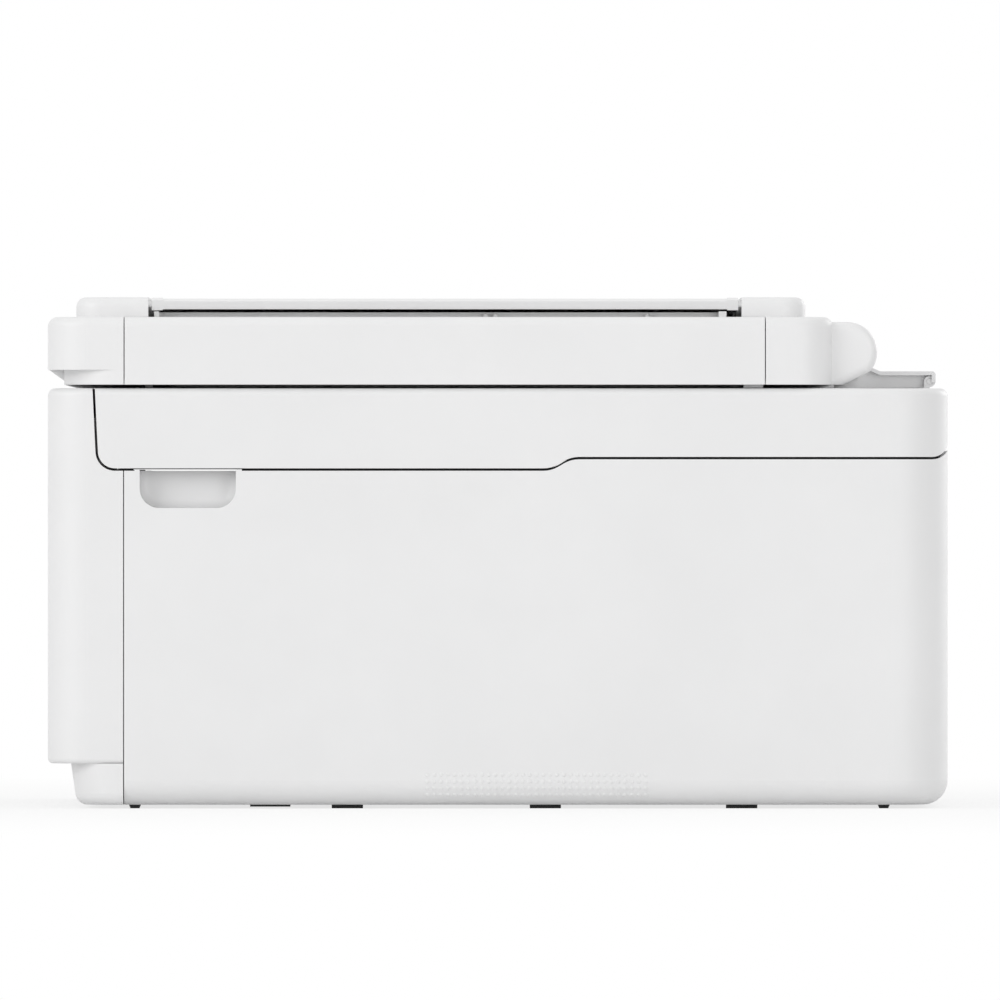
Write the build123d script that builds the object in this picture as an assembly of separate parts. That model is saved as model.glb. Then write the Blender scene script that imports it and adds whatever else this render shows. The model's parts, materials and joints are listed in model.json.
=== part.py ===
from build123d import *
import math
import os

# An all-in-one inkjet printer: flatbed scanner with a sheet feeder over a print engine.
# Millimetres. X to the right seen from the front, Y to the back, Z up.
# The origin is on the table, under the middle of the printer.

# Outer case
width = 405.0
depth = 370.0
foot_height = 1.5
body_top = 172.6
wall = 2.4
front_corner = 16.0
rear_corner = 24.0
bottom_roll = 10.0
top_round = 3.0
seam = 0.4
parting_gap = 1.0
running_gap = 0.05
free_gap = 0.4
side_x = width / 2
front_y = -depth / 2
rear_y = depth / 2

# Parting line between the base and the scanner unit, seen from the side
deck_front = front_y + 18.5
line_low = 138.7
line_high = 143.4
step_y = 26.0
step_run = 8.0
line_lean = 1.6
line_corner = 8.0
step_round = 12.0
scanner_hinge_setback = 6.7
hinge_knuckle = 8.0

# Front of the base
front_seam = front_y + 31.3
toe_height = 18.5
toe_setback = 9.5
toe_lean = 2.4
toe_corner = 18.0
toe_round = 5.0
lip_round = 2.0

# Finger recesses in the side panels
recess_front = front_y + 37.9
recess_length = 39.5
recess_height = 15.3
recess_depth = 10.0
recess_corner = 8.0
recess_wall = 1.6
recess_flange = 2.1

# Document lid
lid_gap = 1.5
lid_height = 27.8
lid_rear = rear_y - 47.3
lid_corner = 16.0
lid_round = 4.0
lid_lip_height = 6.1
lid_lip_setback = 6.6
lip_chin = 1.6
lid_lip_corner = 22.0
lid_cover_front = front_seam
lid_cover_rear = lid_rear - 27.7
lid_cover_width = 37.0
lid_hinge_y = lid_rear + 5.8
lid_hinge_drop = 14.4
hinge_hump_width = 40.0
hinge_hump_radius = 12.4
hinge_hump_heel = 4.0
hinge_hump_round = 3.5
hinge_hump_inset = 12.0
hinge_pin = 3.0
pad_thickness = 5.0

# Sheet feeder on the lid
rim_height = 8.2
rim_front = front_y + 11.5
rim_rear = lid_rear - 11.2
feed_front = rim_front + 29.7
feed_rear = rim_rear - 26.3
rim_side_inset = 19.0
rim_corner = 10.0
feeder_right = -side_x + 110.5
tray_thickness = 4.6
tray_end_gap = 1.4
ridge_height = 2.0
ridge_front = 4.4
ridge_rear = 9.4
tray_barrel = 2.6
tray_edge = 1.5
tray_edge_lean = 20.0
tray_pin = 1.2
tray_setback = 22.0

# Rear paper feed
rear_cover_front = rear_y - 35.0
rear_cover_rear = rear_y - 4.0
rear_cover_height = 7.2
rear_cover_half = side_x - 62.5
rear_cover_wall = 1.6
rear_cover_lap = 6.0

# Front openings
cassette_half = 122.0
mouth_half = cassette_half + 6.0
panel_low = 99.0
panel_drop = 15.6
panel_axis_depth = 3.5
panel_depth = 13.0
cassette_low = 8.0
cassette_top = 56.0
cassette_length = depth - 64.0
cassette_wall = 2.0
output_floor = 62.0

# Print engine
paper_plane = 88.0
feed_roller_radius = 5.5
exit_roller_radius = 5.5
exit_shaft_radius = 2.5
chassis_half = side_x - 16.5
chassis_sheet = 1.2
chassis_rear = 64.0
chassis_top = 136.0
chassis_low = 50.0
chassis_front = -40.0
carriage_width = 84.0
carriage_shaft_radius = 4.0
carriage_shaft_z = 106.0
gear_module = 0.8
feed_gear_teeth = 44
exit_gear_teeth = 40
idler_teeth = 23
pinion_teeth = 14
gear_width = 5.0

# Places worked out from the sizes above
inner_x = side_x - wall
floor_top = foot_height + wall
scanner_hinge_y = rear_y - scanner_hinge_setback
scanner_hinge_z = line_high + hinge_knuckle
lid_low = body_top + lid_gap
lid_top = lid_low + lid_height
lid_hinge_z = lid_top - lid_hinge_drop
rim_top = lid_top + rim_height
carriage_shaft_y = chassis_rear - 14.0
feed_roller_y = carriage_shaft_y - 18.0
idler_y = feed_roller_y - gear_module * (feed_gear_teeth + idler_teeth) / 2
exit_roller_y = idler_y - gear_module * (idler_teeth + exit_gear_teeth) / 2
far = 3 * width


def block(x0, x1, y0, y1, z0, z1):
    """A box between two corners."""
    return Pos((x0 + x1) / 2, (y0 + y1) / 2, (z0 + z1) / 2) * Box(x1 - x0, y1 - y0, z1 - z0)


def rod_x(x0, x1, y, z, radius):
    return Pos((x0 + x1) / 2, y, z) * Rot(0, 90, 0) * Cylinder(radius, x1 - x0)


def rod_y(x, y0, y1, z, radius):
    return Pos(x, (y0 + y1) / 2, z) * Rot(90, 0, 0) * Cylinder(radius, y1 - y0)


def slab_x(face, x0, x1):
    """A YZ outline, drawn as (y, z), swept from x0 to x1."""
    return extrude(Plane.YZ.offset(x0) * face, x1 - x0)


def slab_y(face, y0, y1):
    """An XZ outline, drawn as (x, z), swept from y0 to y1."""
    return extrude(Plane.XZ.offset(-y1) * face, y1 - y0)


def outline(points):
    return make_face(Polyline(*points, close=True))


def rounded(points, radii):
    """A closed outline whose corners after the first are rounded; the first corner stays sharp."""
    return make_face(FilletPolyline(*points, radius=radii, close=False) + Line(points[-1], points[0]))


def mirrored(shape):
    return mirror(shape, about=Plane.YZ)


def level(shape, z):
    """The edges of a solid that lie flat at one height."""
    near = 1e-3
    return [e for e in shape.edges() if all(abs(v.Z - z) < near for v in e.vertices())]


def one(shape):
    """A single solid out of a boolean result."""
    solids = shape.solids()
    assert len(solids) == 1, len(solids)
    return solids[0]


def plan(front, rear, half, front_radius, rear_radius):
    """Plan outline of the case, with its own corner radius at the front and at the back."""
    face = Pos(0, (front + rear) / 2) * Rectangle(2 * half, rear - front)
    face = fillet(face.vertices().sort_by(Axis.Y)[:2], front_radius)
    return fillet(face.vertices().sort_by(Axis.Y)[-2:], rear_radius)


def hull(inset):
    """The whole case below the lid, inset all round."""
    low, high = foot_height + inset, body_top - inset
    face = plan(front_y + inset, rear_y - inset, side_x - inset, front_corner - inset,
                rear_corner - inset)
    solid = extrude(Pos(0, 0, low) * face, high - low)
    solid = fillet(level(solid, low), bottom_roll - inset)
    return fillet(level(solid, high), top_round - inset)


def front_hull(inset):
    """The front of the case: an upright front over a toe recess with softer corners."""
    low, high = foot_height + inset, body_top - inset
    toe_top = toe_height + inset
    half = side_x - inset
    upper = extrude(
        Pos(0, 0, toe_top)
        * plan(front_y + inset, rear_y - inset, half, front_corner - inset, rear_corner - inset),
        high - toe_top,
    )
    upper = fillet(level(upper, high), top_round - inset)
    if not inset:
        upper = fillet([e for e in level(upper, toe_top) if e.center().Y < front_seam], lip_round)
    toe_front = front_y + toe_setback + inset
    toe = loft(
        [
            Pos(0, 0, low) * plan(toe_front + toe_lean, rear_y - inset, half, toe_corner - inset,
                                  rear_corner - inset),
            Pos(0, 0, toe_top + inset)
            * plan(toe_front, rear_y - inset, half, toe_corner - inset, rear_corner - inset),
        ]
    )
    toe = fillet(level(toe, low), toe_round - inset)
    return upper + toe


def above_parting(gap):
    """The side outline of what lies above the parting line, shrunk by a gap."""
    low, high = line_low + gap, line_high + gap
    over = 2 * body_top - low
    front, rear = deck_front + gap, scanner_hinge_y + hinge_knuckle - gap
    path = FilletPolyline(
        (front - line_lean, over),
        (front + line_lean, low),
        (step_y - step_run / 2, low),
        (step_y + step_run / 2, high),
        (rear, high),
        (rear, over),
        radius=[line_corner - gap, step_round, step_round, hinge_knuckle - gap],
    )
    return make_face(path + Line((rear, over), (front - line_lean, over)))


case_shell = hull(0) - hull(wall)
lower_shell = case_shell - slab_x(above_parting(0), -far, far)

# Base: side panels, rear panel, floor and front
panel_x = side_x - rear_corner - wall
rear_seam = rear_y - rear_corner
hinge_lug_x = side_x - 57.5
hinge_lug_width = 10.0
scanner_pin = 3.0
lug_radius = 6.0
pin_reach = 16.0
socket_x = side_x - 52.5
inlet_width = 21.0
inlet_height = 11.0
socket_z = 34.0
usb_size = 13.0
vent_width = 3.0
vent_height = 22.0
vent_pitch = 9.0
vent_count = 12
screw_well_radius = 3.6
screw_well_depth = 1.6
screw_x = side_x - 34.5
screw_places = ((-screw_x, 22.0), (screw_x, 22.0), (-screw_x, 118.0), (screw_x, 118.0), (0.0, 22.0))
vent_z = 104.0
rib = 2.0
mouth_low = cassette_low - 1.6
panel_top = body_top - panel_drop + panel_axis_depth
mouth_high = panel_top + 0.7
rail_height = cassette_low - running_gap
tray_rail = cassette_top + parting_gap
post_x = chassis_half - 15.0
post_size = 8.0
post_places = (chassis_front + 10.0, chassis_rear - 4.0)
board_x0 = cassette_half + 6.0
board_x1 = chassis_half - 14.0
board_y0 = chassis_rear + 21.0
board_y1 = rear_y - 26.0
board_z = 26.0
board_sheet = 1.6
panel_axis_y = front_y + panel_axis_depth
panel_axis_z = body_top - panel_drop
panel_pin = 2.0
corner_foot_x = side_x - 15.5
corner_foot_front = front_y + 35.8
corner_foot_rear = rear_y - 26.4
corner_foot_radius = 2.5
pad_x = side_x - 18.5
pad_length = 12.8
pad_places = (-61.9, 19.5, 100.2)
stop_pad_y = front_y + 91.4
stop_pad_length = 16.5
stop_pad_height = 0.8


def finger_recess():
    """A pocket behind the side panel's top edge, where fingers reach under the scanner unit."""
    y0, y1 = recess_front, recess_front + recess_length
    low = line_low - recess_height

    def pocket(grow, x0):
        face = rounded(
            [
                (y0 - grow, line_low + grow),
                (y0 - grow, low - grow),
                (y1 + grow, low - grow),
                (y1 + grow, line_low + grow),
            ],
            [recess_corner + grow, recess_corner + grow],
        )
        return slab_x(face, x0, side_x)

    inside = pocket(0, side_x - recess_depth)
    inside = fillet(inside.faces().sort_by(Axis.X)[0].edges().sort_by(Axis.Z)[:-1], recess_corner / 2)
    outside = pocket(recess_wall, side_x - recess_depth - recess_wall)
    outside -= block(0, far, -far, far, line_low, far)
    return outside, inside


def make_side_panel():
    panel = lower_shell & block(panel_x, far, front_seam + seam / 2, far, -far, far)
    outside, inside = finger_recess()
    panel = panel + outside - inside
    for y in (recess_front - recess_flange, recess_front + recess_length):
        panel += block(side_x - wall, side_x, y, y + recess_flange, line_low - wall,
                       line_low + parting_gap / 2)
    return one(panel)


def make_rear_panel():
    half = panel_x - seam
    panel = lower_shell & block(-half, half, rear_seam, far, -far, far)
    y0, y1 = rear_y - 3 * wall, far
    panel -= block(-socket_x - inlet_width / 2, -socket_x + inlet_width / 2, y0, y1,
                   socket_z - inlet_height / 2, socket_z + inlet_height / 2)
    panel -= block(socket_x - usb_size / 2, socket_x + usb_size / 2, y0, y1,
                   socket_z - usb_size / 2, socket_z + usb_size / 2)
    for i in range(vent_count):
        x = (i - (vent_count - 1) / 2) * vent_pitch
        slot = Pos(x, vent_z) * SlotOverall(vent_height, vent_width, rotation=90)
        panel -= slab_y(slot, y0, rear_y + wall)
    for x, z in screw_places:
        panel -= rod_y(x, rear_y - screw_well_depth, far, z, screw_well_radius)
    for side in (-1, 1):
        x0 = side * hinge_lug_x - hinge_lug_width / 2
        x1 = x0 + hinge_lug_width
        shank = block(x0, x1, scanner_hinge_y - lug_radius, rear_y - wall, line_low - 3 * lug_radius,
                      scanner_hinge_z)
        panel += shank - rod_x(x0, x1, scanner_hinge_y, scanner_hinge_z, lug_radius)
        panel -= block(x0, x1, scanner_hinge_y, far, line_high - lug_radius / 2, scanner_hinge_z)
        panel += rod_x(x0, x1, scanner_hinge_y, scanner_hinge_z, lug_radius)
        reach = x1 + pin_reach if side > 0 else x0 - pin_reach
        panel += rod_x(min(x0, reach), max(x1, reach), scanner_hinge_y, scanner_hinge_z, scanner_pin)
    return one(panel)


def make_bottom_case():
    half = panel_x - seam
    case = lower_shell & block(-half, half, front_seam + seam / 2, rear_seam - seam, -far, far)
    rail_x = cassette_half - 4 * rib
    for side in (-1, 1):
        x = side * rail_x
        case += block(x - rib, x + rib, front_seam + wall, front_y + cassette_length, floor_top,
                      rail_height)
        x = side * (cassette_half + free_gap + rib / 2)
        case += block(x - rib / 2, x + rib / 2, front_seam + wall, front_y + cassette_length, floor_top,
                      tray_rail)
    for y in (front_seam + 40.0, 0.0, rear_seam - 40.0):
        case += block(-rail_x, rail_x, y - rib / 2, y + rib / 2, floor_top, floor_top + rib)
    for side in (-1, 1):
        for y in post_places:
            x = side * post_x
            case += block(x - post_size / 2, x + post_size / 2, y - post_size / 2, y + post_size / 2,
                          floor_top, chassis_low)
    for x in (board_x0 + post_size / 2, board_x1 - post_size / 2):
        for y in (board_y0 + post_size / 2, board_y1 - post_size / 2):
            case += block(x - post_size / 2, x + post_size / 2, y - post_size / 2, y + post_size / 2,
                          floor_top, board_z)
    return one(case)


def make_front_bezel():
    shell = front_hull(0) - front_hull(wall) - slab_x(above_parting(0), -far, far)
    bezel = shell & block(-far, far, -far, front_seam - seam / 2, -far, far)
    back = deck_front - free_gap
    bezel += block(-inner_x, inner_x, back - wall, back, line_low, body_top - wall) & front_hull(wall)
    for side in (-1, 1):
        x = side * (mouth_half + wall / 2)
        cheek = block(x - wall / 2, x + wall / 2, front_y + wall, back, mouth_low, body_top - wall)
        cheek += block(x - wall / 2, x + wall / 2, front_y + wall, front_seam - seam / 2, mouth_low,
                       line_low - wall)
        bezel += cheek & front_hull(wall)
    bezel -= block(-mouth_half, mouth_half, -far, front_seam, mouth_low, mouth_high)
    pin_x = mouth_half + wall
    bezel -= rod_x(-pin_x, pin_x, panel_axis_y, panel_axis_z, panel_pin + running_gap)
    return one(bezel)


def make_feet():
    """Soft feet: a cone near each corner, flat pads along both sides and a thin pad at each front."""
    feet = []
    for side in (-1, 1):
        for y in (corner_foot_front, corner_foot_rear):
            feet.append(Pos(side * corner_foot_x, y, foot_height / 2) * Rot(180, 0, 0)
                        * Cone(corner_foot_radius, corner_foot_radius * 0.75, foot_height))
        for y in pad_places:
            feet.append(block(side * pad_x - pad_length / 2, side * pad_x + pad_length / 2,
                              y - pad_length / 2, y + pad_length / 2, 0, foot_height))
        feet.append(block(side * pad_x - pad_length / 2, side * pad_x + pad_length / 2,
                          stop_pad_y - stop_pad_length / 2, stop_pad_y + stop_pad_length / 2,
                          foot_height - stop_pad_height, foot_height))
    return Compound(feet)


# Scanner unit: housing, floor pan, glass and sensor bar
glass_left = -side_x + 52.5
glass_right = side_x - 47.5
glass_front = front_y + 55.0
glass_rear = lid_rear - 42.7
strip_left = -side_x + 25.5
strip_right = -side_x + 42.5
glass_thickness = 2.8
glass_lap = 6.0
deck_low = body_top - wall
chute_half = rear_cover_half - 12.0
chute_front = rear_cover_front + 2.0
chute_rear = rear_cover_rear - 8.0
bracket_x = side_x - hinge_hump_inset - hinge_hump_width / 2
bracket_width = 13.0
bracket_nose = 5.0
rear_axis_y = rear_cover_rear - 2.8
rear_axis_z = body_top + 3.0
rear_pin = 1.2
ear_radius = 2.3
ear_width = 3.0
ear_x0 = rear_cover_half - rear_cover_lap + rib / 2 + free_gap
ear_x1 = ear_x0 + ear_width
rail_radius = 3.0
rail_y = (glass_front + glass_rear) / 2
rail_z = line_high + parting_gap + wall + 2 * rail_radius + 1.0
rail_left = strip_left - glass_lap
rail_right = glass_right + 2 * glass_lap
bar_width = 26.0
bar_height = 9.0


def make_scanner_housing():
    housing = case_shell & slab_x(above_parting(parting_gap), -far, far)
    for x0, x1 in ((glass_left, glass_right), (strip_left, strip_right)):
        housing -= block(x0, x1, glass_front, glass_rear, deck_low, body_top)
    opening = block(-chute_half, chute_half, chute_front, chute_rear, line_low, body_top)
    chute = block(-chute_half - rib, chute_half + rib, chute_front - rib, chute_rear + rib,
                  scanner_hinge_z - rib, body_top)
    housing = housing + chute - opening
    for side in (-1, 1):
        lug = side * hinge_lug_x
        half = hinge_lug_width / 2 + free_gap
        housing -= block(lug - half, lug + half, scanner_hinge_y, far, line_low,
                         scanner_hinge_z + hinge_knuckle)
        inner = lug + side * half
        outer = inner + side * (pin_reach - 2 * free_gap - rib)
        x0, x1 = min(inner, outer), max(inner, outer)
        nose = hinge_knuckle - parting_gap - free_gap
        housing += rod_x(x0, x1, scanner_hinge_y, scanner_hinge_z, nose)
        housing += block(x0, x1, scanner_hinge_y - nose, rear_y - wall, scanner_hinge_z, body_top - wall)
        housing -= rod_x(x0, x1, scanner_hinge_y, scanner_hinge_z, scanner_pin + running_gap)
        x = side * bracket_x
        x0, x1 = x - bracket_width / 2, x + bracket_width / 2
        housing += block(x0, x1, lid_hinge_y - bracket_nose, lid_hinge_y + bracket_nose, deck_low,
                         lid_hinge_z)
        housing += rod_x(x0, x1, lid_hinge_y, lid_hinge_z, bracket_nose)
        housing -= rod_x(x0, x1, lid_hinge_y, lid_hinge_z, hinge_pin + running_gap)
        x0, x1 = sorted((side * ear_x0, side * ear_x1))
        housing += block(x0, x1, rear_axis_y - ear_radius, rear_axis_y, deck_low, rear_axis_z)
        housing += rod_x(x0, x1, rear_axis_y, rear_axis_z, ear_radius)
        housing -= rod_x(x0, x1, rear_axis_y, rear_axis_z, rear_pin + running_gap)
    return one(housing)


def make_scanner_tub():
    """The floor under the scanner, with an upturned front and the rail that the sensor bar rides on."""
    strip = above_parting(parting_gap) - above_parting(parting_gap + wall)
    tub = slab_x(strip, -inner_x, inner_x) & hull(wall)
    tub &= block(-far, far, -far, chute_front - 2 * rib, -far, deck_low)
    for y in (lid_rear - 4 * rib, lid_rear - 3 * rib):
        tub += block(-inner_x + rear_corner, inner_x - rear_corner, y, y + rib, line_high + parting_gap,
                     deck_low)
    for x in (rail_left, rail_right):
        tub += block(x - rib / 2, x + rib / 2, rail_y - 4 * rail_radius, rail_y + 4 * rail_radius,
                     line_low + parting_gap, deck_low - glass_thickness)
    return one(tub)


def make_scan_glass():
    panes = []
    for x0, x1 in ((glass_left, glass_right), (strip_left, strip_right)):
        lap = glass_lap if x1 - x0 > 4 * glass_lap else glass_lap / 2
        panes.append(block(x0 - lap + free_gap, x1 + lap - free_gap, glass_front - glass_lap,
                           glass_rear + glass_lap,
                           deck_low - glass_thickness, deck_low))
    return Compound(panes)


def make_scan_rail():
    return rod_x(rail_left + rib / 2, rail_right - rib / 2, rail_y, rail_z, rail_radius)


def make_scan_bar():
    """The contact image sensor: a long bar across the glass on a sliding foot."""
    x = (strip_left + strip_right) / 2
    x0, x1 = max(x - bar_width / 2, strip_left + rib), x + bar_width / 2
    top = deck_low - glass_thickness - free_gap
    bar = block(x0, x1, glass_front, glass_rear, top - bar_height, top)
    bar = fillet(bar.edges().filter_by(Axis.Z), 2 * rib)
    bar -= block(x - 2 * rib, x + 2 * rib, glass_front + 2 * rib, glass_rear - 2 * rib, top - rib / 2,
                 top)
    bar += block(x0, x1, rail_y - 3 * rail_radius, rail_y + 3 * rail_radius, rail_z - 2 * rail_radius,
                 top - bar_height)
    return one(bar - rod_x(-far, far, rail_y, rail_z, rail_radius + running_gap))


def make_rear_cover():
    """The flap over the rear paper slot: a lifted front lip, a turned-down rear edge and two cheeks."""
    top = body_top + rear_cover_height
    half = rear_cover_half
    skin = rear_cover_wall
    bend = rear_cover_front + 7.8
    lift = 3.4
    rear = rear_cover_rear - free_gap
    low = body_top + free_gap
    face = outline([
        (rear_cover_front, top + lift),
        (bend, top),
        (rear, top),
        (rear, rear_axis_z - free_gap),
        (rear - skin, rear_axis_z - free_gap),
        (rear - skin, top - skin),
        (bend, top - skin),
        (rear_cover_front, top + lift - skin),
    ])
    cover = slab_x(face, -half, half)
    cover = fillet([e for e in level(cover, top) if e.center().Y > rear - free_gap], 0.9 * skin)
    cheek = outline([
        (rear_cover_front - 2 * rib, low),
        (rear_cover_front, top + lift - skin / 2),
        (bend, top - skin / 2),
        (rear - skin / 2, top - skin / 2),
        (rear - skin / 2, rear_axis_z),
        (rear_axis_y, low),
    ])
    for side in (-1, 1):
        x = side * (half - rear_cover_lap)
        cover += slab_x(cheek, x - rib / 2, x + rib / 2)
        x0, x1 = sorted((side * (ear_x0 - free_gap), side * (ear_x1 + free_gap)))
        cover -= rod_x(x0, x1, rear_axis_y, rear_axis_z, ear_radius + free_gap)
        x1 = side * (ear_x1 + free_gap)
        cover += rod_x(min(x, x1), max(x, x1), rear_axis_y, rear_axis_z, rear_pin)
    return one(cover)


# Document lid and sheet feeder
lip_z = lid_low + lid_lip_height
rim_left = -side_x + 12.5
rim_right = side_x - rim_side_inset
cover_x = side_x - lid_cover_width
feeder_barrel = 6.0
feeder_pin = 2.0
feeder_axis_x = rim_left + feeder_barrel + free_gap
feeder_axis_z = rim_top - feeder_barrel
tray_axis_x = side_x - tray_setback
ridge_x = tray_axis_x - 6.5
tray_axis_z = rim_top - tray_barrel - free_gap / 2
exit_low = lid_top - 17.0
exit_sheet = 2.0
floor_left = feeder_right - 20.0
floor_right = cover_x - 47.5
floor_low = lid_top - 8.0
floor_rise = 2.4
guide_height = 4.6
guide_length = 60.0
guide_inset = 18.0
guide_sole = 12.0
roller_x = feeder_axis_x + 47.6
roller_z = lid_top - 6.5
roller_shaft = 3.0
roller_tyre = 7.0
tyre_width = 18.0
pad_low = body_top + free_gap


def lid_hull(inset):
    """The lid: a lifting lip that overhangs a lower edge with rounder corners."""
    upper = extrude(
        Pos(0, 0, lip_z + inset)
        * plan(front_y + inset, lid_rear - inset, side_x - inset, lid_corner - inset, lid_corner - inset),
        lid_top - lip_z - 2 * inset,
    )
    upper = fillet(level(upper, lid_top - inset), lid_round - inset)
    front = front_y + lid_lip_setback + inset
    lower = extrude(
        Pos(0, 0, lid_low + inset)
        * plan(front, lid_rear - inset, side_x - inset, lid_lip_corner - inset, lid_corner - inset),
        lid_lip_height + inset,
    )
    return upper + lower


def lid_floor(inset):
    """The flat underside of the lid, drawn in from its edge."""
    face = plan(front_y + lid_lip_setback + inset, lid_rear - inset, side_x - inset,
                lid_lip_corner - inset, lid_corner - inset)
    return extrude(Pos(0, 0, lid_low) * face, wall)


def lid_cover_zone(gap):
    return block(cover_x + gap, far, lid_cover_front + gap, lid_cover_rear - gap, -far, far)


def hinge_hump(side):
    """A rounded housing behind the lid, over one hinge bracket."""
    x = side * bracket_x
    x0, x1 = x - hinge_hump_width / 2, x + hinge_hump_width / 2
    arc = CenterArc((lid_hinge_y, lid_hinge_z), hinge_hump_radius, -40, 130)
    heel, top = arc @ 0, arc @ 1
    front = lid_rear - wall
    path = [
        Line((front, lid_low), (lid_hinge_y - lid_gap, lid_low)),
        Line((lid_hinge_y - lid_gap, lid_low), (heel.X, heel.Y)),
        arc,
        Line((top.X, top.Y), (front, top.Y)),
        Line((front, top.Y), (front, lid_low)),
    ]
    face = make_face(path)
    face = fillet(face.vertices().sort_by_distance((heel.X, heel.Y))[0], hinge_hump_heel)
    hump = slab_x(face, x0, x1)
    ends = [e for e in hump.edges() if abs(e.center().X - x) > hinge_hump_width / 2 - seam]
    ends = [e for e in ends if e.center().Y > lid_rear and e.center().Z > lid_low]
    hump = fillet(ends, hinge_hump_round)
    slot = bracket_width / 2 + free_gap
    room = bracket_nose + free_gap
    hump -= block(x - slot, x + slot, lid_hinge_y - room, far, lid_low - 1, lid_hinge_z + room)
    return hump + rod_x(x - slot - rib, x + slot + rib, lid_hinge_y, lid_hinge_z, hinge_pin)


def feeder_rims():
    """Two raised bars on the lid, in front of and behind the sheet feeder, hollow from below."""
    def bars(inset):
        face = Pos((rim_left + rim_right) / 2, (rim_front + rim_rear) / 2) * RectangleRounded(
            rim_right - rim_left - 2 * inset, rim_rear - rim_front - 2 * inset, rim_corner - inset
        )
        low = lid_top - wall
        solid = extrude(Pos(0, 0, low) * face, rim_top - inset - low)
        solid = fillet(level(solid, rim_top - inset), lid_round - inset)
        return solid - block(-far, far, feed_front - inset, feed_rear + inset, low, far)

    return bars(0), bars(wall)


def make_lid_frame():
    shell = lid_hull(0) - lid_hull(wall)
    frame = shell - lid_floor(wall) - lid_cover_zone(0)
    lift = outline([
        (front_y + free_gap, lip_z),
        (front_y + lid_lip_setback, lid_low + lip_chin),
        (front_y + lid_lip_setback + wall, lid_low + lip_chin),
        (front_y + lid_lip_setback + wall, lip_z),
    ])
    lift_half = side_x - lid_lip_corner - wall
    frame += slab_x(lift, -lift_half, lift_half)
    bars, hollow = feeder_rims()
    frame = frame + bars - hollow
    for y in (feed_front - wall, feed_rear):
        frame += block(rim_left, cover_x, y, y + wall, exit_low, lid_top)
    deck = outline([
        (rim_left, exit_low),
        (feeder_right, exit_low),
        (floor_right, exit_low + 2.5 * rib),
        (cover_x, lid_top - wall - rib),
        (cover_x, lid_top - wall),
        (floor_right, exit_low + 2.5 * rib + exit_sheet),
        (feeder_right, exit_low + exit_sheet),
        (rim_left, exit_low + exit_sheet),
    ])
    frame -= block(rim_left, cover_x, feed_front, feed_rear, lid_top - wall, lid_top)
    frame += slab_y(deck, feed_front - wall, feed_rear + wall)
    for side in (-1, 1):
        frame += hinge_hump(side)
    reach = 2 * wall
    for x, z, radius in ((feeder_axis_x, feeder_axis_z, feeder_pin), (tray_axis_x, tray_axis_z, tray_pin),
                         (roller_x, roller_z, roller_shaft)):
        frame -= rod_y(x, feed_front - reach, feed_rear + reach, z, radius + running_gap)
    return one(frame)


def make_lid_cover():
    cover = (lid_hull(0) - lid_hull(wall) - lid_floor(wall)) & lid_cover_zone(seam)
    low = lid_top - wall
    cover -= block(-far, rim_right + seam, -far, feed_front + seam, low, far)
    cover -= block(-far, rim_right + seam, feed_rear - seam, far, low, far)
    ridge = outline([
        (ridge_x - 3 * ridge_height, low + seam),
        (ridge_x - rib / 2, lid_top + ridge_height),
        (ridge_x, lid_top + ridge_height),
        (ridge_x, low + seam),
    ])
    cover += slab_y(ridge, feed_front + ridge_front, feed_rear - ridge_rear)
    rest_top = tray_axis_z - tray_barrel - free_gap
    for y0, y1 in ((feed_front + ridge_front - rib, feed_front + ridge_front),
                   (feed_rear - ridge_rear, feed_rear - ridge_rear + 1.6 * rib)):
        cover += block(ridge_x - rib, ridge_x + 3 * rib, y0, y1, low + seam, rest_top)
    return one(cover)


def make_lid_base():
    """The underside of the lid, with a raised pan that holds the backing pad."""
    base = lid_floor(wall + seam)
    x0, x1 = glass_left - glass_lap, glass_right + glass_lap
    y0, y1 = glass_front - glass_lap, glass_rear + glass_lap
    high = pad_low + pad_thickness
    base += block(x0 - rib, x1 + rib, y0 - rib, y1 + rib, lid_low, high + rib)
    return one(base - block(x0, x1, y0, y1, -far, high))


def make_backing_pad():
    x0, x1 = glass_left - glass_lap + free_gap, glass_right + glass_lap - free_gap
    y0, y1 = glass_front - glass_lap + free_gap, glass_rear + glass_lap - free_gap
    pad = block(x0, x1, y0, y1, pad_low, pad_low + pad_thickness)
    return fillet(pad.edges().filter_by(Axis.Z), rib)


def make_document_floor():
    """The sloping sheet that paper slides over on its way into the feeder."""
    face = outline([
        (floor_left, floor_low - exit_sheet),
        (floor_left, floor_low),
        (floor_right, floor_low + floor_rise),
        (floor_right, floor_low + floor_rise - exit_sheet),
    ])
    plate = slab_y(face, feed_front, feed_rear)
    x = floor_right - guide_inset - guide_length / 2
    slot = 2 * rib + running_gap
    y0, y1 = feed_front + guide_inset - running_gap, feed_rear - guide_inset + running_gap
    return one(plate - block(x - slot, x + slot, y0, y1, lid_low, rim_top))


def make_document_guide(side):
    """One paper guide of the feeder: an upright fence on a thin sole; side -1 is the front one."""
    y = (feed_front + guide_inset) if side < 0 else (feed_rear - guide_inset)
    x1 = floor_right - guide_inset
    x0 = x1 - guide_length
    slope = floor_rise / (floor_right - floor_left)
    low0 = floor_low + slope * (x0 - floor_left) + running_gap
    low1 = low0 + slope * (x1 - x0)

    def wedge(height):
        return outline([(x0, low0), (x1, low1), (x1, low1 + height), (x0, low0 + height)])

    inner = y - side * guide_sole
    y0, y1 = min(y, inner), max(y, inner)
    sole = slab_y(wedge(rib / 2), y0, y1)
    fence = slab_y(wedge(guide_height), min(y, y - side * rib), max(y, y - side * rib))
    x = (x0 + x1) / 2
    tongue = block(x - 2 * rib, x + 2 * rib, y0, y1, low0 - exit_sheet, low1 + rib / 2)
    return one(sole + fence + tongue)


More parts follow.
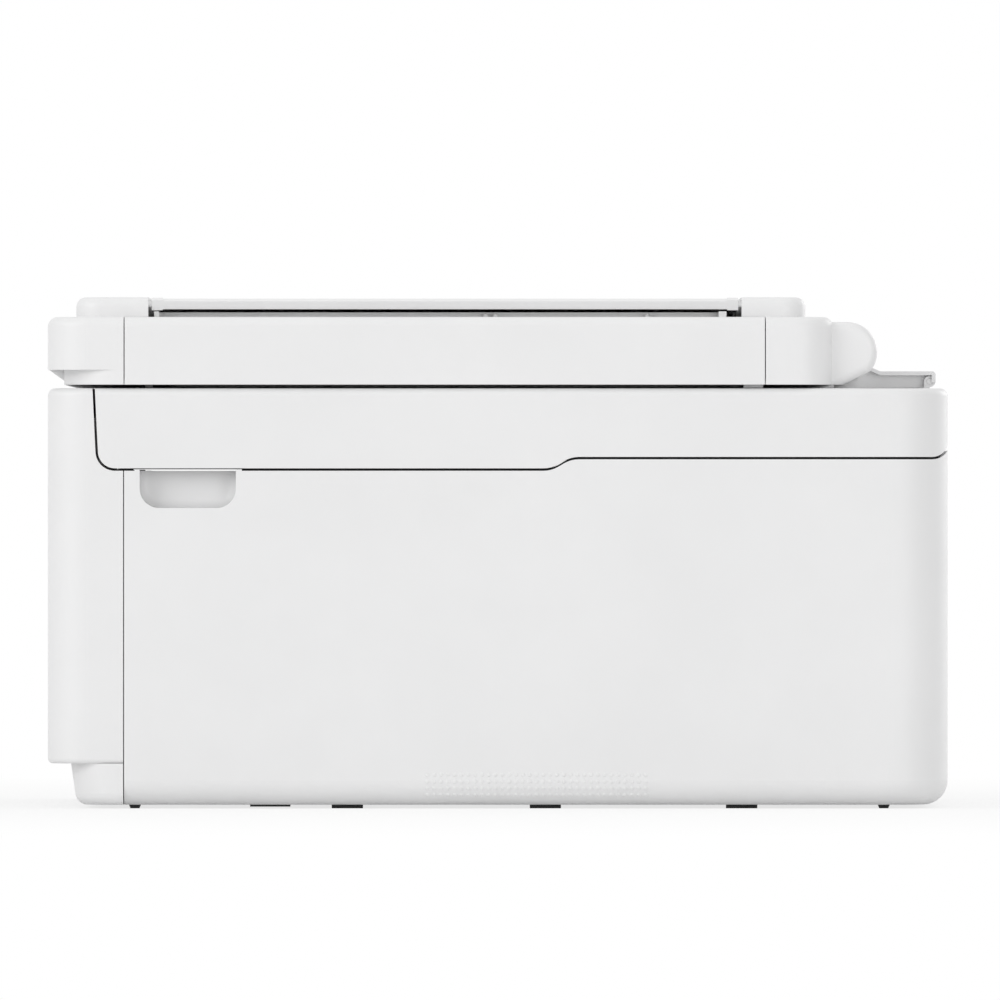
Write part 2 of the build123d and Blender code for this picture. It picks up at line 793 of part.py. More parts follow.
def make_document_tray():
    """The flip-over sheet support: a ribbed plate whose hinge edge is cut flat outside, level with the rims."""
    y0, y1 = feed_front + tray_end_gap, feed_rear - tray_end_gap
    x0 = feeder_right + 2 * free_gap
    top = tray_axis_z + tray_barrel - 2 * free_gap
    low = top - tray_thickness + free_gap
    plate = block(x0, tray_axis_x, y0, y1, top - rib, top)
    plate += block(x0, x0 + rib, y0, y1, low, top)
    for y in (y0, y1 - rib):
        plate += block(x0, tray_axis_x, y, y + rib, low, top)
    count = 5
    for i in range(1, count):
        y = y0 + (y1 - y0) * i / count
        plate += block(x0, tray_axis_x, y - rib / 2, y + rib / 2, top - 1.5 * rib, top - rib / 2)
    plate += rod_y(tray_axis_x, y0, y1, tray_axis_z, tray_barrel - free_gap)
    knuckle = 4.6
    for y in (y0, y1 - knuckle):
        plate += rod_y(tray_axis_x, y, y + knuckle, tray_axis_z, tray_barrel)
    outer = Pos(tray_axis_x + tray_edge, 0, tray_axis_z) * Rot(0, tray_edge_lean, 0)
    plate -= outer * block(0, far, -far, far, -far, far)
    pin_end = wall - free_gap
    plate += rod_y(tray_axis_x, feed_front - pin_end, feed_rear + pin_end, tray_axis_z, tray_pin)
    return one(plate)


def make_feeder_cover():
    """The hinged cover over the feed rollers, with ribs that turn the sheet round."""
    y0, y1 = feed_front + free_gap, feed_rear - free_gap
    cover = block(feeder_axis_x, feeder_right, y0, y1, rim_top - wall, rim_top)
    barrel = rod_y(feeder_axis_x, y0, y1, feeder_axis_z, feeder_barrel)
    barrel -= rod_y(feeder_axis_x, y0 + wall, y1 - wall, feeder_axis_z, feeder_barrel - wall)
    cover += barrel
    bow = 7.0
    count = 6
    face = outline([
        (feeder_axis_x + feeder_barrel - wall, rim_top - wall),
        (feeder_axis_x + feeder_barrel + bow, rim_top - wall - 1.2),
        (feeder_right - bow, rim_top - wall - 1.2),
        (feeder_right, rim_top - wall),
        (feeder_right, rim_top - wall / 2),
        (feeder_axis_x, rim_top - wall / 2),
    ])
    for i in range(count):
        y = y0 + (y1 - y0) * (i + 0.5) / count
        cover += slab_y(face, y - rib / 2, y + rib / 2)
    cover += rod_y(feeder_axis_x, y0 - wall, y0 + 2 * wall, feeder_axis_z, feeder_pin)
    cover += rod_y(feeder_axis_x, y1 - 2 * wall, y1 + wall, feeder_axis_z, feeder_pin)
    return one(cover)


def make_feeder_roller():
    shaft = rod_y(roller_x, feed_front - 1.5 * wall, feed_rear + 1.5 * wall, roller_z, roller_shaft)
    middle = (feed_front + feed_rear) / 2
    for y in (middle - 1.5 * tyre_width, middle + 0.5 * tyre_width):
        shaft += rod_y(roller_x, y, y + tyre_width, roller_z, roller_tyre)
    return one(shaft)


# Front: control panel, output tray and paper cassette
panel_face = front_y + 0.8
panel_half = mouth_half - 0.5
window_half = 34.0
window_low = 112.0
window_high = 146.0
window_sheet = 1.2
button_proud = 0.7
button_radius = 5.5
button_flange = 1.2
button_z = (window_low + window_high) / 2
button_places = {
    "power_button": (24.0 - mouth_half, button_z),
    "ok_button": (mouth_half - 72.0, button_z),
    "start_button": (mouth_half - 46.0, button_z),
    "stop_button": (mouth_half - 22.0, button_z),
}
output_half = mouth_half - 0.8
output_front = front_y + 2.0
output_rear = chassis_front - 2.0
output_low = tray_rail + running_gap
slide_half = 60.0
slide_lip = 4.0
slide_rear = output_rear - 16.0
cassette_face = front_y + 0.4
cassette_front_wall = 13.0
cassette_front_half = mouth_half - 0.6
fence_x = cassette_half - 12.0
fence_y = -20.0
fence_length = 80.0
fence_height = 34.0
fence_sole = 22.0
fence_travel = 57.0


def make_control_panel():
    """A shallow box that hangs from a round top edge and tilts out at the bottom."""
    y0 = panel_face
    panel = block(-panel_half, panel_half, y0, y0 + panel_depth, panel_low, panel_axis_z)
    panel = fillet(panel.edges().filter_by(Axis.X).sort_by(Axis.Z)[:1], lip_round)
    panel -= block(-panel_half + wall, panel_half - wall, y0 + wall, far, panel_low + wall, panel_axis_z)
    panel += rod_x(-panel_half, panel_half, panel_axis_y, panel_axis_z, panel_axis_depth - 0.8)
    panel += block(-panel_half, panel_half, y0, panel_axis_y, panel_axis_z - 2 * wall, panel_axis_z)
    panel -= block(-window_half, window_half, -far, y0 + window_sheet, window_low, window_high)
    for x, z in button_places.values():
        panel -= rod_y(x, -far, y0 + 2 * wall, z, button_radius + running_gap)
    reach = mouth_half + wall - seam
    panel += rod_x(-reach, reach, panel_axis_y, panel_axis_z, panel_pin)
    return one(panel)


def make_display():
    half = window_half - running_gap
    y0 = panel_face
    return block(-half, half, y0, y0 + window_sheet, window_low + running_gap, window_high - running_gap)


def make_button(x, z):
    """A round key with a flange that stops it behind the panel."""
    y0, y1 = panel_face - button_proud, panel_face + wall
    key = rod_y(x, y0, y1 + 2 * button_flange, z, button_radius)
    key = fillet(key.edges().sort_by(Axis.Y)[:1], button_proud / 2)
    return one(key + rod_y(x, y1, y1 + button_flange, z, button_radius + button_flange))


def slide_face(grow):
    """A tee-shaped section for the extension that slides in the output tray."""
    step = output_floor - 1.6
    low = output_floor - 3.2
    wide, narrow = slide_half + grow, slide_half - slide_lip + grow
    return outline([
        (-narrow, output_floor),
        (-narrow, step + grow),
        (-wide, step + grow),
        (-wide, low - grow),
        (wide, low - grow),
        (wide, step + grow),
        (narrow, step + grow),
        (narrow, output_floor),
    ])


def make_output_tray():
    tray = block(-output_half, output_half, output_front, output_rear, output_low, output_floor)
    corners = tray.edges().filter_by(Axis.Z).sort_by(Axis.Y)[:2]
    tray = fillet(corners, 3 * lip_round)
    return one(tray - slab_y(slide_face(running_gap), output_front - 1, slide_rear + free_gap))


def make_output_extension():
    plate = slab_y(slide_face(0), output_front, slide_rear)
    pull = Pos(0, output_front, output_floor) * Cylinder(3 * rib, rib)
    return one(plate - pull)


def make_cassette():
    """A deep paper tray with a front face that fills the mouth above the toe recess."""
    rear = cassette_face + cassette_length
    toe = front_y + toe_setback
    side = outline([
        (cassette_face, toe_height),
        (cassette_face, cassette_top),
        (rear, cassette_top),
        (rear, cassette_low),
        (toe + toe_lean, cassette_low),
        (toe, toe_height),
    ])
    tray = slab_x(side, -cassette_half, cassette_half)
    face = outline([
        (cassette_face, toe_height),
        (cassette_face, cassette_top),
        (cassette_face + cassette_front_wall, cassette_top),
        (cassette_face + cassette_front_wall, cassette_low),
        (toe + toe_lean, cassette_low),
        (toe, toe_height),
    ])
    front = slab_x(face, -cassette_front_half, cassette_front_half)
    tray += front
    half = cassette_half - cassette_wall
    y0 = cassette_face + cassette_front_wall + cassette_wall
    tray -= block(-half, half, y0, rear - cassette_wall, cassette_low + cassette_wall, far)
    grip = cassette_face + cassette_wall
    tray -= block(-window_half, window_half, grip, grip + 4 * rib, cassette_top - 6 * rib, far)
    slot = 2 * rib + running_gap
    inner, outer = fence_x - fence_travel - fence_sole, fence_x + rib + free_gap
    for x0, x1 in ((-outer, -inner), (inner, outer)):
        tray -= block(x0, x1, fence_y - slot, fence_y + slot, cassette_low, cassette_low + cassette_wall)
    return one(tray)


def make_cassette_guide():
    """The right-hand paper guide: a fence with a sole and a tongue in the cassette floor."""
    low = cassette_low + cassette_wall + running_gap
    y0, y1 = fence_y - fence_length / 2, fence_y + fence_length / 2
    fence = block(fence_x, fence_x + rib, y0, y1, low, low + fence_height)
    fence += block(fence_x - fence_sole, fence_x + rib, fence_y - 6 * rib, fence_y + 6 * rib, low,
                   low + rib)
    fence += block(fence_x - fence_sole, fence_x + rib, fence_y - 2 * rib, fence_y + 2 * rib,
                   cassette_low, low + rib)
    return one(fence)


# Print engine: sheet frame, rollers, gears, carriage and paper path
roller_z_low = paper_plane - feed_roller_radius
feed_journal = 3.0
frame_inner = chassis_half - chassis_sheet
beam_front = exit_roller_y + 10.0
beam_rear = feed_roller_y - 8.0
beam_top = 78.0
gear_x = -chassis_half - 1.0
journal_reach = 8.0
idler_pin = 2.0
pinion_angle = -60.0
pinion_distance = gear_module * (feed_gear_teeth + pinion_teeth) / 2
pinion_y = feed_roller_y + pinion_distance * math.cos(math.radians(pinion_angle))
pinion_z = roller_z_low + pinion_distance * math.sin(math.radians(pinion_angle))
motor_shaft = 1.5
feed_motor_radius = 10.0
feed_motor_length = 24.0
belt_x = chassis_half - 14.0
belt_z = 124.0
belt_y0 = chassis_rear - 5.0
belt_y1 = chassis_rear - 1.0
belt_thickness = 1.0
pulley_radius = 5.5
carriage_motor_radius = 14.0
carriage_motor_length = 30.0
carriage_centre = chassis_half - 46.0
carriage_front = carriage_shaft_y - 52.0
carriage_rear = carriage_shaft_y + 8.0
carriage_low = 93.0
carriage_high = 132.0
carriage_wall = 2.0
bay_rear = carriage_shaft_y - 8.0
cartridge_high = 129.0
latch_width = 34.0
latch_axis_y = carriage_front - 2.6
latch_axis_z = 110.0
latch_barrel = 2.0
latch_pin = 1.2
latch_top = 130.0
latch_ear = 1.6
window_width = cassette_half - 8.0
window_z0 = 82.0
window_z1 = 95.0
roller_pitch = 0.4 * (cassette_half - 27.0)
pinch_z0 = 89.8
pinch_z1 = 92.2
arm_pivot_y = chassis_rear + 10.0
arm_pivot_z = 72.0
arm_pin = 3.0
arm_half = 17.0
pick_y = arm_pivot_y + 30.0
pick_z = 68.0
pick_radius = 9.0
pick_pin = 2.0
pick_half = arm_half - 4.0
turn_y = front_y + cassette_length + 4.0
turn_z = 69.0
turn_inner = 22.0
turn_outer = 24.0
turn_half = cassette_half - 10.0
supply_x0 = 14.0 - chassis_half
supply_x1 = -cassette_half - 6.0
supply_y0 = chassis_rear + 20.0
supply_y1 = rear_y - 27.0
supply_high = 60.0


def gear(teeth, x0, x1, y, z, phase, bore):
    """A spur gear on an axis along X; phase is the angle in degrees of one tooth from the Y axis."""
    pitch = gear_module * teeth / 2
    rings = ((pitch - 1.25 * gear_module, 0.36), (pitch, 0.22), (pitch + 0.9 * gear_module, 0.11))
    points = []
    for i in range(teeth):
        middle = math.radians(phase) + 2 * math.pi * i / teeth
        step = 2 * math.pi / teeth
        for radius, share in rings:
            points.append((radius, middle - share * step))
        for radius, share in reversed(rings):
            points.append((radius, middle + share * step))
    face = outline([(y + r * math.cos(a), z + r * math.sin(a)) for r, a in points])
    wheel = slab_x(face, x0, x1)
    return one(wheel - rod_x(x0, x1, y, z, bore))


def make_chassis():
    """The folded sheet frame: a rear wall, two end plates, a beam and feet."""
    rear = chassis_rear + chassis_sheet
    frame = block(-chassis_half, chassis_half, chassis_rear, rear, chassis_low, chassis_top)
    frame -= block(-window_width, window_width, chassis_rear, rear, window_z0, window_z1)
    clear = cassette_half + 4 * rib
    frame -= block(-clear, clear, chassis_rear, rear, chassis_low, output_floor)
    frame += block(-frame_inner, frame_inner, beam_front, beam_rear, beam_top - chassis_sheet, beam_top)
    for side in (-1, 1):
        x0, x1 = sorted((side * frame_inner, side * chassis_half))
        frame += block(x0, x1, chassis_front, rear, chassis_low, chassis_top)
        x0, x1 = sorted((side * (frame_inner - 3 * post_size), side * chassis_half))
        frame += block(x0, x1, chassis_front, rear, chassis_low, chassis_low + chassis_sheet)
        x0, x1 = sorted((side * (arm_half + free_gap), side * (arm_half + free_gap + rib)))
        frame += block(x0, x1, chassis_rear, arm_pivot_y + 2 * arm_pin, arm_pivot_z - 2 * arm_pin,
                       arm_pivot_z + 2 * arm_pin)
    frame -= rod_x(-far, far, carriage_shaft_y, carriage_shaft_z, carriage_shaft_radius)
    frame -= rod_x(-far, far, feed_roller_y, roller_z_low, feed_journal + running_gap)
    frame -= rod_x(-far, far, exit_roller_y, roller_z_low, exit_shaft_radius + running_gap)
    frame -= rod_x(-far, far, arm_pivot_y, arm_pivot_z, arm_pin + running_gap)
    frame -= rod_x(-far, 0, pinion_y, pinion_z, 2 * motor_shaft)
    frame -= rod_y(belt_x, chassis_rear, rear, belt_z, 2 * motor_shaft)
    frame += rod_x(gear_x - gear_width, -frame_inner, idler_y, roller_z_low, idler_pin)
    frame += rod_y(-belt_x, belt_y0, rear, belt_z, idler_pin)
    return one(frame)


def make_carriage_shaft():
    return rod_x(-chassis_half, chassis_half, carriage_shaft_y, carriage_shaft_z, carriage_shaft_radius)


def make_feed_roller():
    roller = rod_x(-frame_inner + free_gap, frame_inner - free_gap, feed_roller_y, roller_z_low,
                   feed_roller_radius)
    reach = chassis_half + journal_reach
    return one(roller + rod_x(-reach, chassis_half + rib, feed_roller_y, roller_z_low, feed_journal))


def make_exit_roller():
    reach = chassis_half + journal_reach
    roller = rod_x(-reach, chassis_half + rib, exit_roller_y, roller_z_low, exit_shaft_radius)
    count = 6
    for i in range(count):
        x = (i - (count - 1) / 2) * roller_pitch
        roller += rod_x(x - 6 * rib / 2, x + 6 * rib / 2, exit_roller_y, roller_z_low, exit_roller_radius)
    return one(roller)


def make_feed_gear():
    return gear(feed_gear_teeth, gear_x - gear_width, gear_x, feed_roller_y, roller_z_low, 180,
                feed_journal)


def make_idler_gear():
    phase = 180.0 / idler_teeth
    return gear(idler_teeth, gear_x - gear_width, gear_x, idler_y, roller_z_low, phase,
                idler_pin + running_gap)


def make_exit_gear():
    pitch = 360.0 / idler_teeth
    far_side = pitch / 2 + pitch * round((180 - pitch / 2) / pitch)
    turn = (180 - far_side) * idler_teeth / exit_gear_teeth
    return gear(exit_gear_teeth, gear_x - gear_width, gear_x, exit_roller_y, roller_z_low,
                turn + 180.0 / exit_gear_teeth, exit_shaft_radius)


def make_motor_pinion():
    pitch = 360.0 / feed_gear_teeth
    near = 180 + pitch * round((pinion_angle - 180) / pitch)
    lag = (pinion_angle - near) * feed_gear_teeth / pinion_teeth
    phase = pinion_angle + 180 + lag + 180.0 / pinion_teeth
    wheel = gear(pinion_teeth, gear_x - gear_width, gear_x, pinion_y, pinion_z, phase, motor_shaft)
    return one(wheel + rod_x(gear_x - gear_width, -chassis_half + 2 * wall, pinion_y, pinion_z,
                             motor_shaft))


def make_motors():
    """The paper feed motor inside the left end plate and the carriage motor behind the rear wall."""
    x0 = -frame_inner
    feed = rod_x(x0, x0 + feed_motor_length, pinion_y, pinion_z, feed_motor_radius)
    feed -= rod_x(x0, x0 + 3 * wall, pinion_y, pinion_z, motor_shaft + running_gap)
    y0 = chassis_rear + chassis_sheet
    drive = rod_y(belt_x, y0, y0 + carriage_motor_length, belt_z, carriage_motor_radius)
    drive -= rod_y(belt_x, y0, y0 + 3 * wall, belt_z, motor_shaft + running_gap)
    return Compound([one(feed), one(drive)])


def make_belt():
    """A closed toothless belt loop round the two pulleys."""
    inner = pulley_radius + running_gap
    outer = inner + belt_thickness
    ring = SlotCenterToCenter(2 * belt_x, 2 * outer) - SlotCenterToCenter(2 * belt_x, 2 * inner)
    return one(slab_y(Pos(0, belt_z) * ring, belt_y0, belt_y1))


def make_motor_pulley():
    pulley = rod_y(belt_x, belt_y0, belt_y1, belt_z, pulley_radius)
    return one(pulley + rod_y(belt_x, belt_y0, chassis_rear + 3 * wall, belt_z, motor_shaft))


def make_idler_pulley():
    pulley = rod_y(-belt_x, belt_y0, belt_y1, belt_z, pulley_radius)
    return one(pulley - rod_y(-belt_x, belt_y0, belt_y1, belt_z, idler_pin + running_gap))


def carriage_bays():
    """Left and right edges of the two cartridge bays."""
    x0 = carriage_centre - carriage_width / 2 + carriage_wall
    x1 = carriage_centre + carriage_width / 2 - carriage_wall
    middle = carriage_centre
    return (x0, middle - carriage_wall / 2), (middle + carriage_wall / 2, x1)


def make_carriage():
    x0, x1 = carriage_centre - carriage_width / 2, carriage_centre + carriage_width / 2
    body = block(x0, x1, carriage_front, bay_rear, carriage_low, carriage_high)
    body += block(x0, x1, bay_rear, carriage_rear, carriage_low + 2 * rib, carriage_shaft_z + 5 * rib)
    for left, right in carriage_bays():
        body -= block(left, right, carriage_front + carriage_wall, bay_rear - carriage_wall,
                      carriage_low + carriage_wall, far)
        body -= block(left + 3 * rib, right - 3 * rib, carriage_front + 6 * rib, bay_rear - 6 * rib,
                      carriage_low, carriage_high)
        middle = (left + right) / 2
        for side in (-1, 1):
            a = middle + side * (latch_width / 2 + free_gap)
            b = a + side * latch_ear
            body += block(min(a, b), max(a, b), latch_axis_y - latch_barrel, carriage_front,
                          latch_axis_z - latch_barrel, latch_axis_z + latch_barrel)
    body -= rod_x(x0, x1, latch_axis_y, latch_axis_z, latch_pin + running_gap)
    body -= rod_x(x0, x1, carriage_shaft_y, carriage_shaft_z, carriage_shaft_radius + running_gap)
    strand = belt_z - pulley_radius - running_gap
    jaw = 4 * rib
    for z0, z1 in ((strand - belt_thickness - free_gap - rib, strand - belt_thickness - free_gap),
                   (strand + free_gap, strand + free_gap + rib)):
        body += block(carriage_centre - jaw, carriage_centre + jaw, carriage_rear - 2 * rib,
                      belt_y1 - free_gap, z0, z1)
    body += block(carriage_centre - jaw, carriage_centre + jaw, bay_rear, carriage_rear,
                  carriage_shaft_z + 4 * rib,
                  strand + free_gap + rib)
    return one(body)


def make_cartridges():
    """Two ink cartridges: a body with a stepped nose and a raised grip."""
    blocks = []
    for left, right in carriage_bays():
        x0, x1 = left + free_gap, right - free_gap
        y0, y1 = carriage_front + carriage_wall + free_gap, bay_rear - carriage_wall - free_gap
        z0 = carriage_low + carriage_wall
        body = block(x0, x1, y0, y1, z0, cartridge_high)
        body = fillet(body.edges().filter_by(Axis.Z), rib)
        body += block(x0 + 4 * rib, x1 - 4 * rib, y0 + 6 * rib, y1 - 6 * rib, carriage_low, z0 + rib)
        body += block(x0 + 4 * rib, x1 - 4 * rib, y0 + 2 * rib, y0 + 3 * rib, cartridge_high - rib,
                      carriage_high)
        blocks.append(one(body))
    return Compound(blocks)


def make_latch(bay):
    """A lever in front of one cartridge that tips forward to let it out."""
    left, right = carriage_bays()[int(bay)]
    middle = (left + right) / 2
    x0, x1 = middle - latch_width / 2, middle + latch_width / 2
    latch = rod_x(x0, x1, latch_axis_y, latch_axis_z, latch_barrel)
    latch += block(x0, x1, latch_axis_y - rib, latch_axis_y, latch_axis_z, latch_top)
    latch += block(x0, x1, latch_axis_y - 2 * rib, latch_axis_y, latch_top, latch_top + rib)
    reach = latch_width / 2 + free_gap + latch_ear
    return one(latch + rod_x(middle - reach, middle + reach, latch_axis_y, latch_axis_z, latch_pin))


def make_platen():
    """The ribbed table under the print heads."""
    x1 = carriage_centre - carriage_width / 2 + 6 * rib
    table = block(-frame_inner, x1, beam_front, beam_rear, beam_top, paper_plane - 2 * rib)
    count = 17
    pitch = 2 * (x1 - 3 * rib) / (count - 1)
    for i in range(count):
        x = (i - (count - 1) / 2) * pitch
        table += block(x - rib / 2, x + rib / 2, beam_front, beam_rear, beam_top, paper_plane - free_gap)
    return one(table)


def make_purge_unit():
    """The capping and wiping station where the carriage parks."""
    x0 = carriage_centre - carriage_width / 2 + 10 * rib
    body = block(x0, frame_inner, beam_front, beam_rear, beam_top, paper_plane)
    for left, right in carriage_bays():
        body += block(max(left, x0) + 3 * rib, right - 3 * rib, beam_front + 4 * rib, beam_rear - 4 * rib,
                      paper_plane, carriage_low - 2 * free_gap)
    return one(body)


def make_pinch_rollers():
    """A holder on the frame's rear wall with a row of idle rollers over the feed roller."""
    half = window_width + 4 * rib
    holder = block(-half, half, feed_roller_y + 2 * rib, chassis_rear, pinch_z0, pinch_z1)
    count = 6
    radius = rib
    for i in range(count):
        x = (i - (count - 1) / 2) * roller_pitch
        z = paper_plane + free_gap + radius
        holder += rod_x(x - 6 * rib / 2, x + 6 * rib / 2, feed_roller_y, z, radius)
        holder += block(x - 4 * rib, x + 4 * rib, feed_roller_y, feed_roller_y + 3 * rib, pinch_z0,
                        pinch_z1)
    return one(holder)


def make_spur_holder():
    """A bar across the frame with star wheels over the exit rollers."""
    low = paper_plane + 2 * rib
    bar = block(-frame_inner, frame_inner, exit_roller_y - 3 * rib, exit_roller_y + 3 * rib, low,
                low + 1.5 * rib)
    count = 6
    for i in range(count):
        x = (i - (count - 1) / 2) * roller_pitch
        radius = 2 * rib
        z = paper_plane + free_gap + radius
        bar += rod_x(x - rib / 2, x + rib / 2, exit_roller_y, z, radius)
    return one(bar)


def make_pickup_arm():
    arm = rod_x(-arm_half - free_gap - rib, arm_half + free_gap + rib, arm_pivot_y, arm_pivot_z, arm_pin)
    hub = 2 * arm_pin
    arm += rod_x(-arm_half, arm_half, arm_pivot_y, arm_pivot_z, hub)
    tip = 2 * pick_pin
    side = outline([
        (arm_pivot_y, arm_pivot_z + hub),
        (pick_y, pick_z + tip),
        (pick_y, pick_z - tip),
        (arm_pivot_y, arm_pivot_z - hub),
    ])
    for x0 in (-arm_half, arm_half - 1.5 * rib):
        arm += slab_x(side, x0, x0 + 1.5 * rib)
        arm += rod_x(x0, x0 + 1.5 * rib, pick_y, pick_z, tip)
    return one(arm - rod_x(-arm_half, arm_half, pick_y, pick_z, pick_pin + running_gap))


def make_pickup_roller():
    roller = rod_x(-pick_half, pick_half, pick_y, pick_z, pick_radius)
    return one(roller + rod_x(-arm_half, arm_half, pick_y, pick_z, pick_pin))


def make_turn_guide():
    """The half-round guide that turns sheets from the cassette up to the feed roller."""
    ring = Circle(turn_outer) - Circle(turn_inner) - Pos(-turn_outer, 0) * Rectangle(2 * turn_outer,
                                                                                     3 * turn_outer)
    guide = slab_x(Pos(turn_y, turn_z) * ring, -turn_half, turn_half)
    guide += block(-turn_half, turn_half, chassis_rear + 2 * rib, turn_y, turn_z + turn_inner,
                   turn_z + turn_outer)
    count = 5
    leg = outline([
        (turn_y, floor_top),
        (turn_y + turn_outer, floor_top),
        (turn_y + turn_outer, turn_z),
        (turn_y + turn_inner, turn_z),
        (turn_y, turn_z - turn_inner),
    ])
    cut = Pos(turn_y, turn_z) * Circle(turn_inner)
    for i in range(count):
        x = (i - (count - 1) / 2) * (turn_half - 6 * rib) / 2
        guide += slab_x(leg - cut, x - rib / 2, x + rib / 2)
    return one(guide)


def make_ink_absorber():
    """An open box of felt that takes the waste ink."""
    x0, x1 = cassette_half + 4 * rib, post_x - post_size / 2 - 2 * rib
    box = block(x0, x1, front_seam + 8 * rib, chassis_front - 4 * rib, floor_top, output_floor - 8 * rib)
    box = fillet(box.edges().filter_by(Axis.Z), 2 * rib)
    return one(box - block(x0 + rib, x1 - rib, front_seam + 9 * rib, chassis_front - 5 * rib,
                           output_floor - 10 * rib, far))


def make_power_supply():
    case = block(supply_x0, supply_x1, supply_y0, supply_y1, floor_top, supply_high)
    return fillet(case.edges().filter_by(Axis.Z), rib)


def make_logic_board():
    """The main board on its posts, with a few chips and a heat sink."""
    board = block(board_x0, board_x1, board_y0, board_y1, board_z, board_z + board_sheet)
    top = board_z + board_sheet
    chips = ((12, 15, 16, 2), (30, 19, 12, 7), (14, 41, 10, 2), (32, 45, 8, 9))
    for across, along, size, high in chips:
        x, y = board_x0 + across, board_y0 + along
        board += block(x - size / 2, x + size / 2, y - size / 2, y + size / 2, top - rib / 2, top + high)
    return one(board)


def make_sockets():
    """The mains inlet and the data socket behind their openings in the rear panel."""
    gap = running_gap
    x0, x1 = -socket_x - inlet_width / 2 + gap, -socket_x + inlet_width / 2 - gap
    z0, z1 = socket_z - inlet_height / 2 + gap, socket_z + inlet_height / 2 - gap
    inlet = block(x0, x1, supply_y1, rear_y - 0.4, z0, z1)
    inlet -= block(x0 + rib, x1 - rib, rear_y - 6 * rib, far, z0 + rib, z1 - rib)
    for side in (-1, 1):
        inlet += rod_y(-socket_x + side * 2 * rib, rear_y - 7 * rib, rear_y - 2 * rib, socket_z, rib / 2)
    half = usb_size / 2 - gap
    low = board_z + board_sheet
    data = block(socket_x - half, socket_x + half, board_y1 - 6 * rib, rear_y - 0.4, low, socket_z + half)
    data -= block(socket_x - half + rib, socket_x + half - rib, rear_y - 6 * rib, far, low + rib,
                  socket_z + half - rib)
    data += block(socket_x - 1.5 * rib, socket_x + 1.5 * rib, rear_y - 7 * rib, rear_y - 2 * rib,
                  socket_z - rib, socket_z + rib / 2)
    return Compound([one(inlet), one(data)])


def make_all():
    """Every piece by name, in its place with everything shut."""
    right_panel = make_side_panel()
    right_guide = make_cassette_guide()
    pieces = {
        "bottom_case": make_bottom_case(),
        "right_side_panel": right_panel,
        "left_side_panel": mirrored(right_panel),
        "front_bezel": make_front_bezel(),
        "rear_panel": make_rear_panel(),
        "rubber_feet": make_feet(),
        "chassis_frame": make_chassis(),
        "carriage_shaft": make_carriage_shaft(),
        "platen": make_platen(),
        "purge_unit": make_purge_unit(),
        "ink_absorber": make_ink_absorber(),
        "power_supply": make_power_supply(),
        "logic_board": make_logic_board(),
        "drive_motors": make_motors(),
        "carriage_belt": make_belt(),
        "pinch_rollers": make_pinch_rollers(),
        "spur_holder": make_spur_holder(),
        "rear_turn_guide": make_turn_guide(),
        "rear_sockets": make_sockets(),
        "print_carriage": make_carriage(),
        "ink_cartridges": make_cartridges(),
        "cartridge_latch_left": make_latch(0),
        "cartridge_latch_right": make_latch(1),
        "motor_pulley": make_motor_pulley(),
        "idler_pulley": make_idler_pulley(),
        "feed_roller": make_feed_roller(),
        "feed_gear": make_feed_gear(),
        "exit_roller": make_exit_roller(),
        "exit_gear": make_exit_gear(),
        "idler_gear": make_idler_gear(),
        "motor_pinion": make_motor_pinion(),
        "pickup_arm": make_pickup_arm(),
        "pickup_roller": make_pickup_roller(),
        "cassette": make_cassette(),
        "cassette_guide_right": right_guide,
        "cassette_guide_left": mirrored(right_guide),
        "output_tray": make_output_tray(),
        "output_extension": make_output_extension(),
        "control_panel": make_control_panel(),
        "display_window": make_display(),
        "scanner_housing": make_scanner_housing(),
        "scanner_tub": make_scanner_tub(),
        "scan_glass": make_scan_glass(),
        "scan_rail": make_scan_rail(),
        "scan_bar": make_scan_bar(),
        "rear_tray_cover": make_rear_cover(),
        "lid_frame": make_lid_frame(),
        "lid_side_cover": make_lid_cover(),
        "lid_base": make_lid_base(),
        "backing_pad": make_backing_pad(),
        "document_floor": make_document_floor(),
        "document_tray": make_document_tray(),
        "feeder_cover": make_feeder_cover(),
        "feeder_roller": make_feeder_roller(),
        "document_guide_front": make_document_guide(-1),
        "document_guide_rear": make_document_guide(1),
    }
    for name, (x, z) in button_places.items():
        pieces[name] = make_button(x, z)
    return pieces


if __name__ == "__main__":
    os.makedirs("parts", exist_ok=True)
    for name, shape in make_all().items():
        export_step(shape, f"parts/{name}.step")
